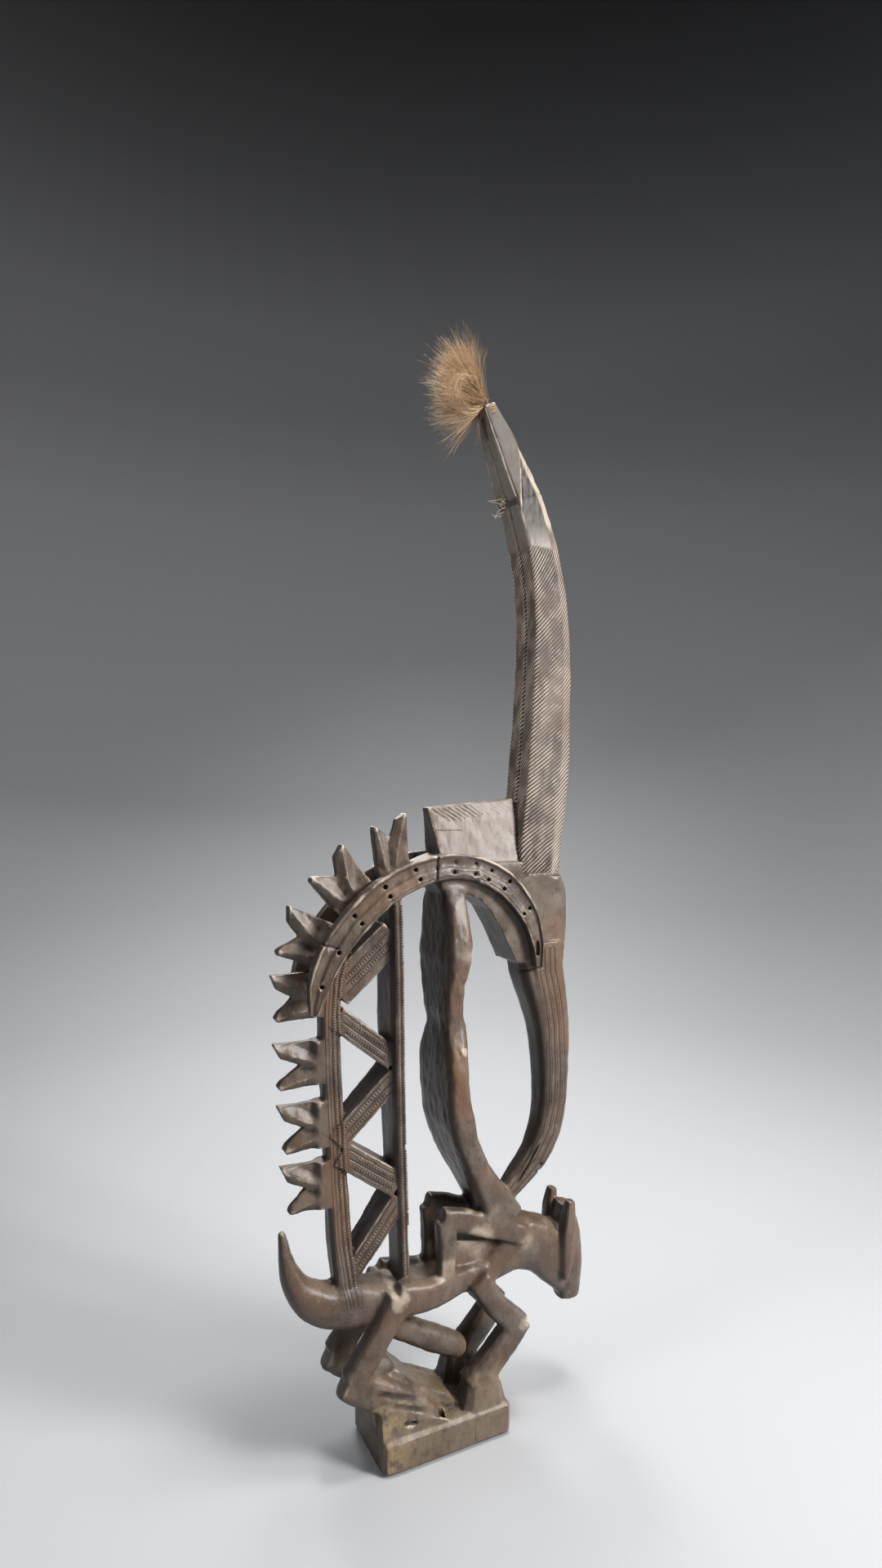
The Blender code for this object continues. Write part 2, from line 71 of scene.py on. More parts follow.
MANE_BACK_LINE = (
    (-0.082, 0.138), (-0.0910, 0.200), (-0.0935, 0.245), (-0.0965, 0.300), (-0.0990, 0.350),
    (-0.1005, 0.395), (-0.0985, 0.430), (-0.0900, 0.460), (-0.0740, 0.485), (-0.0500, 0.503),
    (-0.0250, 0.514), (0.0060, 0.522))
MANE_POST_LINE = (
    (-0.0325, 0.142), (-0.0335, 0.180), (-0.0365, 0.240), (-0.0398, 0.310), (-0.0415, 0.380),
    (-0.0422, 0.450), (-0.0425, 0.505))
EAR_ARCH_LINE = (
    (0.100, 0.424), (0.099, 0.446), (0.092, 0.470), (0.081, 0.487), (0.063, 0.506), (0.035, 0.520),
    (0.004, 0.5235), (-0.026, 0.518), (-0.058, 0.503), (-0.087, 0.478), (-0.108, 0.450), (-0.118, 0.426),
    (-0.122, 0.403))
STRUT_LINES = (
    ((-0.096, 0.416), (-0.044, 0.464)), ((-0.096, 0.395), (-0.044, 0.353)),
    ((-0.096, 0.286), (-0.042, 0.338)), ((-0.092, 0.276), (-0.040, 0.240)),
    ((-0.088, 0.162), (-0.038, 0.228)))
# Farthest |y| of the flanks that carry lines and dots
FLANK_MOST_Y = 0.0262
# Farther than any distance on the carving
FAR = 9.0
# The box in which the CAD horns are taken off
HORN_CUT = ((0.0865, -0.04, 0.532), (0.20, 0.04, 1.10))

# Hand rounding: line, reach from it, and how strong
ROUNDED = (
    (TORSO_LINE, 0.022, 1.0), (TAIL_LINE, 0.026, 1.0), (SHEATH_LINE, 0.016, 1.0), (FACE_LINE, 0.030, 0.75),
    (BODY_LINE, 0.026, 1.0), (HIND_LEG_LINE, 0.017, 0.35), (HIND_FOOT_LINE, 0.016, 0.70),
    (FORELEG_LINE, 0.014, 0.30), (UPPER_THIGH_LINE, 0.013, 0.35))
PLINTH_TOP = 0.034
ARCH_INNER_FACE = 0.0193
ARCH_STEP = 0.0015
ARCH_TAPER_RUN = 0.075
ARCH_TAPER = 0.36

# Mane fins: root (x, z), outward angle, reach of the upper and lower tip, half spread
FINS = (
    (-0.1000, 0.248, 180, 0.044, 0.038, 0.0225), (-0.1020, 0.301, 180, 0.045, 0.039, 0.0220),
    (-0.1035, 0.355, 180, 0.047, 0.043, 0.0210), (-0.1060, 0.414, 180, 0.047, 0.043, 0.0215),
    (-0.1020, 0.453, 155, 0.049, 0.042, 0.0225), (-0.0760, 0.492, 128, 0.050, 0.045, 0.0230),
    (-0.0400, 0.510, 95, 0.061, 0.052, 0.0180))
FIN_HALF_WIDTH = 0.0095
FIN_UPPER_RIDGE = ((0.15, 0.10), (0.45, 0.30), (0.75, 0.62), (1.0, 0.92))
FIN_LOWER_RIDGE = ((0.25, -0.42), (0.60, -0.55), (1.0, -0.76))
FIN_FACET = 0.0085
FIN_EDGE_SHARE = 0.36

# Paired holes in the ear plates: how far along the plate, and how far off its middle
EAR_HOLE_RUNS = (0.057, 0.0905, 0.1115, 0.1278, 0.1494, 0.1868, 0.2190, 0.2545)
EAR_HOLE_OFFSET = 0.0046
EAR_SINGLE_HOLES = ((0.2865, -0.0030), (0.3190, -0.0020))
EAR_HOLE_RADIUS = 0.0019
EAR_SLOT_RUNS = (0.012, 0.024)
EAR_SLOT_RADIUS = 0.0026
# Nearest and farthest |y| of what is cut out of the ear plates
EAR_HOLE_SPAN = (0.0225, 0.0320)
EAR_SLOT_SPAN = (0.0235, 0.0320)
CHEEK_HOLE = (0.114, 0.2274)
CHEEK_HOLE_RADIUS = 0.0019
CHEEK_HOLE_REACH = 0.05

# Cut lines in the side view: start, end, half width, depth, and the nearest and farthest |y|
CUT_LINES = (
    ((0.1125, 0.2510), (0.0870, 0.2110), 0.0010, 0.0020, 0.003, 0.030),
    ((0.1065, 0.2490), (0.0850, 0.2170), 0.0007, 0.0007, 0.003, 0.030),
    ((0.1405, 0.0875), (0.1620, 0.0815), 0.0012, 0.0026, 0.000, 0.030),
    ((-0.0065, 0.5360), (-0.0085, 0.5090), 0.0009, 0.0022, 0.0195, 0.030),
    ((-0.1180, 0.4640), (-0.0985, 0.4575), 0.0008, 0.0013, 0.0195, 0.030),
    ((-0.0420, 0.0392), (-0.0290, 0.0366), 0.0016, 0.0035, 0.024, 0.038),
    ((-0.0700, 0.0735), (-0.0230, 0.0525), 0.0032, 0.0016, 0.014, 0.034),
    ((-0.0560, 0.0590), (-0.0180, 0.0420), 0.0026, 0.0011, 0.014, 0.034),
    ((0.0870, 0.4190), (0.1090, 0.4235), 0.0012, 0.0014, 0.010, 0.026),
    ((0.1060, 0.2215), (0.1250, 0.2180), 0.0014, 0.0016, 0.000, 0.020),
    ((0.0262, 0.0300), (0.0255, 0.0020), 0.0005, 0.0004, 0.030, 0.040))

# Slanted cuts along the top of the head block: where they may be, how many, the first one's start, the step
# to the next, each one's run, half width and depth, and the length over which they fade
HEAD_CUT_LOW = 0.560
HEAD_CUT_FRONT = 0.084
HEAD_CUTS = 14
HEAD_CUT_START = (-0.0030, 0.5770)
HEAD_CUT_STEP = 0.0054
HEAD_CUT_RUN = (0.0165, -0.0105)
HEAD_CUT_HALF = 0.0009
HEAD_CUT_DEPTH = 0.0006
HEAD_CUT_FADE = 0.060

# The head block's top rises to the front, and the brow under the horns is worn back
HEAD_RISE = 0.085
HEAD_LEVEL_X = 0.022
HEAD_RISE_ZONE = (0.548, 0.572)
HEAD_BACK = -0.02
HEAD_FRONT = 0.0868
BROW_ZONE = (0.472, 0.534)
BROW_TOP = 0.545
BROW_BACK = 0.112
BROW_WORN = 0.20
SHOULDER_LOW = 0.500
SHOULDER_TOP = 0.5325
SHOULDER_DROP = 0.62
SHOULDER_BACK = 0.0870
SHOULDER_FRONT_ZONE = (0.1230, 0.1360)
SHOULDER_SIDE_ZONE = (0.0120, 0.0198)

# The plinth's two back corners are worn off
PLINTH_CORNER = (-0.0635, 0.0375)
PLINTH_WEAR = 0.0022

# Places made pale by wear and by painted highlight where the light from above catches them, or left dark
# where negative: place, radius and strength
WORN_SPOTS = (
    ((-0.0433, 0.1441), 0.013, 1.0), ((0.0400, 0.1700), 0.026, 0.75), ((0.0050, 0.1580), 0.018, 0.65),
    ((-0.0680, 0.0760), 0.016, 0.35), ((0.0900, 0.1620), 0.022, 0.40), ((0.1380, 0.1780), 0.020, -1.0),
    ((0.0420, 0.1980), 0.030, 0.40), ((-0.0930, 0.0840), 0.012, 0.45), ((0.0184, 0.3560), 0.006, 0.9),
    ((0.0240, 0.4450), 0.020, 0.45), ((-0.1380, 0.1900), 0.020, 0.35), ((0.0820, 0.0900), 0.010, 0.5))

# Lumps in the side view: place, radius and height
LUMPS = (
    ((0.0284, 0.4510), 0.0060, 0.0016), ((0.0180, 0.4160), 0.0050, -0.0012),
    ((0.0150, 0.3560), 0.0045, 0.0012), ((-0.0433, 0.1441), 0.0100, 0.0012),
    ((0.0150, 0.3240), 0.0100, 0.0008), ((-0.0100, 0.0700), 0.0140, 0.0010),
    ((0.0040, 0.3900), 0.0120, 0.0012), ((0.0240, 0.3850), 0.0080, -0.0010),
    ((0.0060, 0.4400), 0.0110, 0.0011), ((0.0240, 0.2900), 0.0140, 0.0010),
    ((0.0440, 0.2450), 0.0110, -0.0008))
ROUGH_TORSO = (0.354, 0.420)

# Cut lines beside the dotted rows: line, reach, offsets of the cuts
LINED = (
    (MANE_BACK_LINE, 0.0092, (-0.0062, -0.0030, -0.0004, 0.0041, 0.0084)),
    (MANE_POST_LINE, 0.0058, (-0.0034, 0.0010, 0.0054)),
    (FACE_LINE, 0.0125, (-0.0090, -0.0030, 0.0030, 0.0090)),
    *((line, 0.0098, (-0.0068, 0.0, 0.0068)) for line in STRUT_LINES))

# Dotted rows: line, offset, pitch, start and end along the line, farthest |y|, and each pad's length, width
# and half height
BACK_ROW = (0.0023, 0.020, 0.330, 0.0125, 0.0014, 0.0030, 0.00045)
POST_ROW = (0.0023, 0.012, 0.350, FLANK_MOST_Y, 0.0014, 0.0026, 0.00045)
STRUT_ROW = (0.0028, 0.016, 0.058, 0.0180, 0.0015, 0.0032, 0.00045)
CHEEK_ROW = (0.0024, 0.035, 0.190, FLANK_MOST_Y, 0.0012, 0.0013, 0.00028)
DOTTED_ROWS = (
    (MANE_BACK_LINE, 0.0019, *BACK_ROW), (MANE_BACK_LINE, 0.0063, *BACK_ROW),
    (MANE_POST_LINE, -0.0012, *POST_ROW), (MANE_POST_LINE, 0.0032, *POST_ROW),
    (FACE_LINE, -0.0060, *CHEEK_ROW), (FACE_LINE, 0.0, *CHEEK_ROW), (FACE_LINE, 0.0060, *CHEEK_ROW),
    *((line, offset, *STRUT_ROW) for line in STRUT_LINES for offset in (-0.0036, 0.0036)))
HEAD_DOTS = (
    ((0.000, 0.5560), (0.026, 0.5555)), 0.0, 0.0023, 0.0, 0.026, FLANK_MOST_Y, 0.0012, 0.0015, 0.0003)
PAD_TOP_SHARE = 0.42
PAD_WEAR = 0.42

# Horn stations: x, z, depth in the side view, width across, how far it leans to the middle plane
HORN_STATIONS = (
    (0.1082, 0.508, 0.0455, 0.0168, 0), (0.1084, 0.522, 0.0480, 0.0206, 0),
    (0.1088, 0.537, 0.0482, 0.0212, 0), (0.1140, 0.575, 0.0490, 0.0200, 0),
    (0.1182, 0.615, 0.0485, 0.0192, 0), (0.1210, 0.665, 0.0460, 0.0187, 0),
    (0.1230, 0.715, 0.0440, 0.0185, 0), (0.1215, 0.765, 0.0400, 0.0185, 0),
    (0.1150, 0.812, 0.0360, 0.0185, 0),
    (0.1025, 0.857, 0.0335, 0.0180, 0.0010), (0.0870, 0.893, 0.0300, 0.0160, 0.0024),
    (0.0715, 0.927, 0.0225, 0.0125, 0.0041), (0.0578, 0.956, 0.0140, 0.0085, 0.0060))
HORN_Y = 0.0107

# The horn's section, back to front and inwards to outwards from -1 to 1, with the spans to each next corner
HORN_CORNERS = (
    (-0.9, -1, 7), (0.9, -1, 1), (1, -0.85, 7), (1, 0.4, 5), (0.45, 1, 14), (-0.88, 1, 2), (-1, 0.8, 9),
    (-1, -0.85, 1))
HORN_BEVEL_CORNER = 3
HORN_OUTER_CORNER = 4
HORN_REAR_CORNER = 5
HATCH_PITCH = 0.0041
HATCH_STEPS = 6
HATCH_TURN_PITCHES = 27
HATCH_PROFILE = (1.0, 0.62, 0.12, 0.0, 0.12, 0.62)
HATCH_DEPTH = 0.00095
HATCH_START_Z = 0.508
HATCH_END_Z = 0.826
CRACK = (0.0800, 0.8675, 0.42)
CRACK_DEPTH = 0.0013
WEATHERED_Z = 0.846

# Hair tuft
TUFT_ROOT = Vector((0.0560, 0.0, 0.9600))
# Groups of locks: how many, heading in degrees and its scatter, length and bow
LOCK_GROUPS = ((30, 128, 11, 0.056, 0.12), (19, 158, 15, 0.051, 0.20), (15, 211, 15, 0.049, -0.30))
# Looped locks: turn, heading in degrees, length and tone
LOOPS = (
    (-4.4, 222, 0.078, 0.92), (-4.0, 226, 0.073, 0.80), (-3.6, 216, 0.068, 0.66), (-3.9, 212, 0.064, 0.9))
# Short dark locks under the binding: heading in degrees, length and tone
DARK_LOCKS = ((243, 0.034, 0.02), (250, 0.028, 0.0), (236, 0.036, 0.05), (258, 0.022, 0.0))
HAIRS_PER_LOCK = 27
HAIRS_PER_LOOP = 22
HAIRS_PER_DARK_LOCK = 18
HAIR_POINTS = 14
HAIR_RADIUS = 0.00015
TUFT_MOST_Y = 0.027
WISPS = 9
BINDING_TURNS = 4
BINDING_STEPS = 28
BINDING_CENTRE = (0.0590, 0.0, 0.9530)
BINDING_HALF_LENGTH = 0.0035
BINDING_RADII = (0.0086, 0.0106)
# Thickness of the wisps and of the cord, as shares of a hair's
WISP_THICKNESS = 0.6
CORD_THICKNESS = 5.0

# Finishes
# The dark patina colour also stands in for painted shade on back-turned and downward faces and in hollows
DARK_PATINA_AND_SHADE = (0.018, 0.014, 0.012)
BROWN_WOOD = (0.072, 0.048, 0.033)
GREY_BROWN_WOOD = (0.138, 0.106, 0.081)
RED_WOOD = (0.168, 0.084, 0.043)
# The worn colour also stands in for painted highlight
WORN_AND_HIGHLIT_WOOD = (0.46, 0.375, 0.295)
OCHRE_WOOD = (0.30, 0.215, 0.120)
GREY_WOOD = (0.105, 0.094, 0.080)


# Numbers along lines and over the surface

def smoothstep(low, high, value):
    share = np.clip((value - low) / (high - low), 0, 1)
    return share * share * (3 - 2 * share)


def value_noise(points, size, seed):
    """Smooth random values from 0 to 1 over space, with bumps about as wide as size."""
    table = np.random.default_rng(seed).random((32, 32, 32))
    place = points / np.asarray(size) + 1000.37
    cell = np.floor(place).astype(int)
    part = place - cell
    part = part * part * (3 - 2 * part)
    total = 0
    for dx in (0, 1):
        for dy in (0, 1):
            for dz in (0, 1):
                corner = table[(cell[:, 0] + dx) % 32, (cell[:, 1] + dy) % 32, (cell[:, 2] + dz) % 32]
                weight = abs(1 - dx - part[:, 0]) * abs(1 - dy - part[:, 1]) * abs(1 - dz - part[:, 2])
                total = total + corner * weight
    return total


def follow_flat(flat, line):
    """For each flat point: how far along the line it is, and how far off it, with its side as the sign."""
    along = np.zeros(len(flat))
    across = np.full(len(flat), FAR)
    run = 0.0
    for start, end in zip(line, line[1:]):
        start = np.array(start)
        step = np.array(end) - start
        length = np.linalg.norm(step)
        step = step / length
        offset = flat - start
        share = np.clip(offset @ step, 0, length)
        gap = offset - share[:, None] * step
        distance = np.linalg.norm(gap, axis=1)
        side = np.sign(step[1] * gap[:, 0] - step[0] * gap[:, 1])
        nearer = distance < np.abs(across)
        along = np.where(nearer, run + share, along)
        across = np.where(nearer, side * distance, across)
        run += length
    return along, across


def follow(points, line):
    """The same for points in space, in the side view."""
    return follow_flat(points[:, (0, 2)], line)


def spot_on(line, run, offset):
    """The place this far along the line and this far off it, and the line's heading there."""
    corners = np.array(line)
    steps = np.diff(corners, axis=0)
    lengths = np.linalg.norm(steps, axis=1)
    index = min(np.searchsorted(np.cumsum(lengths), run), len(lengths) - 1)
    heading = steps[index] / lengths[index]
    rest = run - lengths[:index].sum()
    return corners[index] + heading * rest + np.array((heading[1], -heading[0])) * offset, heading


def line_length(line):
    return float(np.linalg.norm(np.diff(np.array(line), axis=0), axis=1).sum())


def smooth_line(stations, steps):
    """A Catmull-Rom curve through the stations, as an array."""
    stations = np.array(stations, float)
    padded = np.vstack([stations[:1], stations, stations[-1:]])
    result = []
    for index in range(len(stations) - 1):
        a, b, c, d = padded[index:index + 4]
        for share in np.linspace(0, 1, steps, endpoint=False):
            result.append(0.5 * (2 * b + (c - a) * share + (2 * a - 5 * b + 4 * c - d) * share ** 2
                                 + (3 * b - a - 3 * c + d) * share ** 3))
    result.append(stations[-1])
    return np.array(result)


# Meshes

def new_object(name, mesh):
    item = bpy.data.objects.new(name, mesh)
    bpy.context.scene.collection.objects.link(item)
    return item


def applied(item):
    """The object's mesh with its modifiers in it, and the modifiers gone."""
    bpy.context.view_layer.update()
    mesh = bpy.data.meshes.new_from_object(item.evaluated_get(bpy.context.evaluated_depsgraph_get()))
    item.modifiers.clear()
    item.data = mesh
    return mesh


def positions(mesh):
    values = np.empty(len(mesh.vertices) * 3, np.float32)
    mesh.vertices.foreach_get("co", values)
    return values.reshape(-1, 3).astype(float)


def normals(mesh):
    values = np.empty(len(mesh.vertices) * 3, np.float32)
    mesh.vertex_normals.foreach_get("vector", values)
    return values.reshape(-1, 3).astype(float)


def set_positions(mesh, points):
    mesh.vertices.foreach_set("co", points.astype(np.float32).ravel())
    mesh.update()


def set_numbers(mesh, name, values):
    attribute = mesh.attributes.get(name) or mesh.attributes.new(name, "FLOAT", "POINT")
    attribute.data.foreach_set("value", np.broadcast_to(values, len(mesh.vertices)).astype(np.float32))


def get_numbers(mesh, name):
    values = np.empty(len(mesh.vertices), np.float32)
    mesh.attributes[name].data.foreach_get("value", values)
    return values.astype(float)


def set_vectors(mesh, name, values):
    attribute = mesh.attributes.get(name) or mesh.attributes.new(name, "FLOAT_VECTOR", "POINT")
    attribute.data.foreach_set("vector", np.asarray(values, np.float32).ravel())


def edge_bend(mesh, passes):
    """How far each vertex stands out of its neighbours: high on edges and low in hollows."""
    points = positions(mesh)
    ends = np.empty(len(mesh.edges) * 2, np.int32)
    mesh.edges.foreach_get("vertices", ends)
    first, second = ends.reshape(-1, 2).T
    size = len(points)
    count = (np.bincount(first, minlength=size) + np.bincount(second, minlength=size)).clip(1)

    def neighbours(values):
        total = np.bincount(first, values[second], size) + np.bincount(second, values[first], size)
        return total / count

    smooth = points.T.copy()
    for _ in range(passes):
        smooth = np.array([neighbours(column) for column in smooth])
    bend = np.sum((points - smooth.T) * normals(mesh), axis=1)
    for _ in range(2):
        bend = 0.5 * bend + 0.5 * neighbours(bend)
    return bend / np.percentile(np.abs(bend), 90)


# Shader nodes

class Socket:
    """A node socket that takes + - * / with numbers and other sockets."""

    def __init__(self, finish, socket):
        self.finish = finish
        self.socket = socket

    def maths(self, operation, first, second=0.0):
        return self.finish.node("ShaderNodeMath", {"operation": operation}, {0: first, 1: second})

    def __add__(self, other):
        return self.maths("ADD", self, other)

    def __sub__(self, other):
        return self.maths("SUBTRACT", self, other)

    def __rsub__(self, other):
        return self.maths("SUBTRACT", other, self)

    def __mul__(self, other):
        return self.maths("MULTIPLY", self, other)

    def __truediv__(self, other):
        return self.maths("DIVIDE", self, other)

    def __abs__(self):
        return self.maths("ABSOLUTE", self)

    def rounded(self):
        return self.maths("ROUND", self)

    __radd__ = __add__
    __rmul__ = __mul__


class Finish:
    """A material under construction."""

    def __init__(self, name, **constants):
        self.material = bpy.data.materials.new(name)
        self.material.use_nodes = True
        self.tree = self.material.node_tree
        self.shader = self.tree.nodes["Principled BSDF"]
        for key, value in constants.items():
            self.shader.inputs[key.replace("_", " ")].default_value = value

    def node(self, kind, settings=None, sockets=None, output=0):
        item = self.tree.nodes.new(kind)
        for key, value in (settings or {}).items():
            if key == "stops":
                for _ in value[2:]:
                    item.color_ramp.elements.new(0.5)
                for element, (place, colour) in zip(item.color_ramp.elements, value):
                    element.position = place
                    element.color = (*colour, 1)
            else:
                setattr(item, key, value)
        for key, value in (sockets or {}).items():
            if isinstance(value, Socket):
                self.tree.links.new(value.socket, item.inputs[key])
            else:
                item.inputs[key].default_value = value
        return Socket(self, item.outputs[output])

    def attribute(self, name, output="Fac"):
        return self.node("ShaderNodeAttribute", {"attribute_name": name}, output=output)

    def place(self):
        return self.node("ShaderNodeTexCoord", output="Object")

    def stretched(self, scale):
        return self.node("ShaderNodeMapping", None, {"Vector": self.place(), "Scale": scale})

    def noise(self, vector, scale, detail=4.0, roughness=0.55):
        return self.node("ShaderNodeTexNoise", None,
                         {"Vector": vector, "Scale": scale, "Detail": detail, "Roughness": roughness})

    def ease(self, value, low, high):
        return self.node("ShaderNodeMapRange", {"interpolation_type": "SMOOTHSTEP"},
                         {"Value": value, "From Min": low, "From Max": high})

    def mix(self, share, first, second):
        return self.node("ShaderNodeMix", {"data_type": "RGBA"},
                         {"Factor": share, 6: self.colour(first), 7: self.colour(second)}, output=2)

    @staticmethod
    def colour(value):
        return value if isinstance(value, Socket) else (*value, 1)

    def bump(self, height, strength, distance, normal=None):
        sockets = {"Height": height, "Strength": strength, "Distance": distance}
        if normal is not None:
            sockets["Normal"] = normal
        return self.node("ShaderNodeBump", None, sockets)

    def feed(self, key, value):
        self.tree.links.new(value.socket, self.shader.inputs[key])


def carved_wood():
    """Dark handled wood: mottled patina, pale where worn, with painted highlight on upward faces and painted
    shade on back-turned and downward faces and in hollows, dark in the cuts, with grain up the carving.
    """
    finish = Finish("carved_wood", Specular_IOR_Level=0.5)
    place = finish.place()
    clouds = finish.noise(place, 34, 5, 0.62)
    patches = finish.noise(place, 110, 4, 0.6)
    blotches = finish.noise(place, 15, 3, 0.5)
    grain = finish.noise(finish.stretched((650, 650, 45)), 1.0, 4, 0.6)
    speckle = finish.noise(place, 1100, 2, 0.6)
    wear = finish.attribute("wear")
    hollow = finish.attribute("hollow")
    weathered = finish.attribute("weathered")
    base = finish.mix(finish.ease(clouds, 0.36, 0.64), BROWN_WOOD, GREY_BROWN_WOOD)
    base = finish.mix(finish.ease(patches, 0.52, 0.72) * 0.55, base, DARK_PATINA_AND_SHADE)
    base = finish.mix(finish.attribute("red") * finish.ease(blotches, 0.42, 0.62) * 0.8, base, RED_WOOD)
    base = finish.mix(finish.attribute("ochre") * finish.ease(patches, 0.30, 0.58), base, OCHRE_WOOD)
    base = finish.mix(weathered * (0.35 + 0.65 * finish.ease(clouds, 0.3, 0.6)), base, GREY_WOOD)
    base = finish.mix(finish.ease(grain, 0.50, 0.72) * 0.28, base, DARK_PATINA_AND_SHADE)
    base = finish.mix(finish.ease(speckle, 0.56, 0.76) * 0.25, base, WORN_AND_HIGHLIT_WOOD)
    # Pale where worn, with painted highlight on upward faces, on the listed spots and on the horns' bevels,
    # all in the same attribute
    uneven = wear + (clouds - 0.5) * 0.8 + (patches - 0.5) * 0.5 + (speckle - 0.5) * 0.3
    rubbed_and_lit = finish.ease(uneven, 0.30, 0.95)
    base = finish.mix(rubbed_and_lit * 0.82, base, WORN_AND_HIGHLIT_WOOD)
    lines = finish.attribute("cut_lines")
    off_line = abs(lines - lines.rounded())
    line = (1 - finish.ease(off_line, 0.05, 0.17)) * finish.attribute("lined")
    cuts = finish.attribute("cuts")
    # Painted shade: faces turned back from the key light and faces turned down are darkened
    base = finish.mix(finish.attribute("shade") * (0.66 + 0.34 * clouds), base, DARK_PATINA_AND_SHADE)
    base = finish.mix(line * 0.72, base, DARK_PATINA_AND_SHADE)
    base = finish.mix(cuts * 0.90, base, DARK_PATINA_AND_SHADE)
    # Painted shade in the hollows
    base = finish.mix(finish.ease(hollow, 0.10, 0.85) * 0.70, base, DARK_PATINA_AND_SHADE)
    finish.feed("Base Color", base)
    finish.feed("Roughness", 0.29 + clouds * 0.22 + hollow * 0.2 + weathered * 0.2)
    height = grain * 0.30 + speckle * 0.22 + patches * 0.30 - line * 0.8
    finish.feed("Normal", finish.bump(height, 0.6, 0.0008))
    return finish.material


def tuft_hair():
    """Golden-brown hair, darker at the binding, with a tone of its own for each strand."""
    finish = Finish("tied_hair", Roughness=0.42, Specular_IOR_Level=0.4)
    strand = finish.attribute("strand")
    share = finish.attribute("share")
    tone = finish.node("ShaderNodeValToRGB", {"stops": (
        (0.0, (0.085, 0.045, 0.022)), (0.4, (0.30, 0.170, 0.080)), (0.75, (0.56, 0.37, 0.20)),
        (1.0, (0.82, 0.64, 0.44)))}, {"Fac": strand})
    finish.feed("Base Color", finish.mix(finish.ease(share, 0.16, 0.0) * 0.6, tone, (0.14, 0.075, 0.035)))
    return finish.material


# The carving

def cylinder(shape, spot, radius, low_y, high_y):
    """Add a round cutter that runs across the carving from low_y to high_y."""
    turn = Matrix.Rotation(pi / 2, 4, "X")
    place = Matrix.Translation((spot[0], (low_y + high_y) / 2, spot[1])) @ turn
    bmesh.ops.create_cone(shape, cap_ends=True, segments=16, radius1=radius, radius2=radius,
                          depth=high_y - low_y, matrix=place)


def shape_object(name, shape):
    """A new object with the shape as its mesh."""
    mesh = bpy.data.meshes.new(name)
    shape.to_mesh(mesh)
    shape.free()
    return new_object(name, mesh)


def hole_cutters():
    """The round holes of the ear plates, and the hole through the cheek."""
    shape = bmesh.new()
    spots = []
    for run in EAR_HOLE_RUNS:
        spots += [(run, EAR_HOLE_OFFSET, EAR_HOLE_RADIUS), (run, -EAR_HOLE_OFFSET, EAR_HOLE_RADIUS)]
    spots += [(run, offset, EAR_HOLE_RADIUS) for run, offset in EAR_SINGLE_HOLES]
    near, far = EAR_HOLE_SPAN
    for run, offset, radius in spots:
        spot, _ = spot_on(EAR_ARCH_LINE, run, offset)
        cylinder(shape, spot, radius, near, far)
        cylinder(shape, spot, radius, -far, -near)
    cylinder(shape, CHEEK_HOLE, CHEEK_HOLE_RADIUS, -CHEEK_HOLE_REACH, CHEEK_HOLE_REACH)
    return shape_object("holes", shape)


def slot_cutter(low_y, high_y):
    """One long slot at the front end of an ear plate."""
    shape = bmesh.new()
    start, end = (spot_on(EAR_ARCH_LINE, run, 0.0)[0] for run in EAR_SLOT_RUNS)
    length = end[1] - start[1] + 2 * EAR_SLOT_RADIUS
    bmesh.ops.create_cube(shape, size=1.0)
    bmesh.ops.scale(shape, vec=(2 * EAR_SLOT_RADIUS, high_y - low_y, length), verts=shape.verts)
    crosswise = [edge for edge in shape.edges if abs(edge.verts[0].co.y - edge.verts[1].co.y) > 0.001]
    bmesh.ops.bevel(shape, geom=crosswise, offset=0.9 * EAR_SLOT_RADIUS, segments=3, affect="EDGES")
    middle = (start + end) / 2
    bmesh.ops.translate(shape, vec=(middle[0], (low_y + high_y) / 2, middle[1]), verts=shape.verts)
    return shape_object("slot", shape)


def box_solid(name, low, high):
    shape = bmesh.new()
    bmesh.ops.create_cube(shape, size=1.0)
    low, high = Vector(low), Vector(high)
    bmesh.ops.scale(shape, vec=high - low, verts=shape.verts)
    bmesh.ops.translate(shape, vec=(low + high) / 2, verts=shape.verts)
    return shape_object(name, shape)


def carving_block():
    """The CAD carving's form, merged, with the holes cut and the horns taken off just above the head."""
    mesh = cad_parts["carved_headdress"].data.copy()
    shape = bmesh.new()
    shape.from_mesh(mesh)
    bmesh.ops.remove_doubles(shape, verts=shape.verts, dist=0.00001)
    shape.to_mesh(mesh)
    shape.free()
    block = new_object("carved_wood_form", mesh)
    near, far = EAR_SLOT_SPAN
    cutters = [box_solid("horn_cut", *HORN_CUT), hole_cutters(), slot_cutter(near, far),
               slot_cutter(-far, -near)]
    for cutter in cutters:
        cut = block.modifiers.new(cutter.name, "BOOLEAN")
        cut.operation = "DIFFERENCE"
        cut.solver = "EXACT"
        cut.object = cutter
    applied(block)
    for cutter in cutters:
        bpy.data.objects.remove(cutter)
    return block


def rounding(points):
    """How much the carving is rounded by hand, from 0 to 1."""
    share = np.zeros(len(points))
    for line, reach, strength in ROUNDED:
        _, across = follow(points, line)
        share = np.maximum(share, strength * (1 - smoothstep(reach, reach + 0.006, np.abs(across))))
    arches = (np.abs(points[:, 1]) > ARCH_INNER_FACE) & (points[:, 2] > 0.395) & (points[:, 0] > 0.035)
    mane = points[:, 0] < -0.026
    high = points[:, 2] > 0.165
    share = np.where(arches | (mane & high & (points[:, 0] > -0.112)), 0, share)
    return share * smoothstep(PLINTH_TOP, PLINTH_TOP + 0.006, points[:, 2])


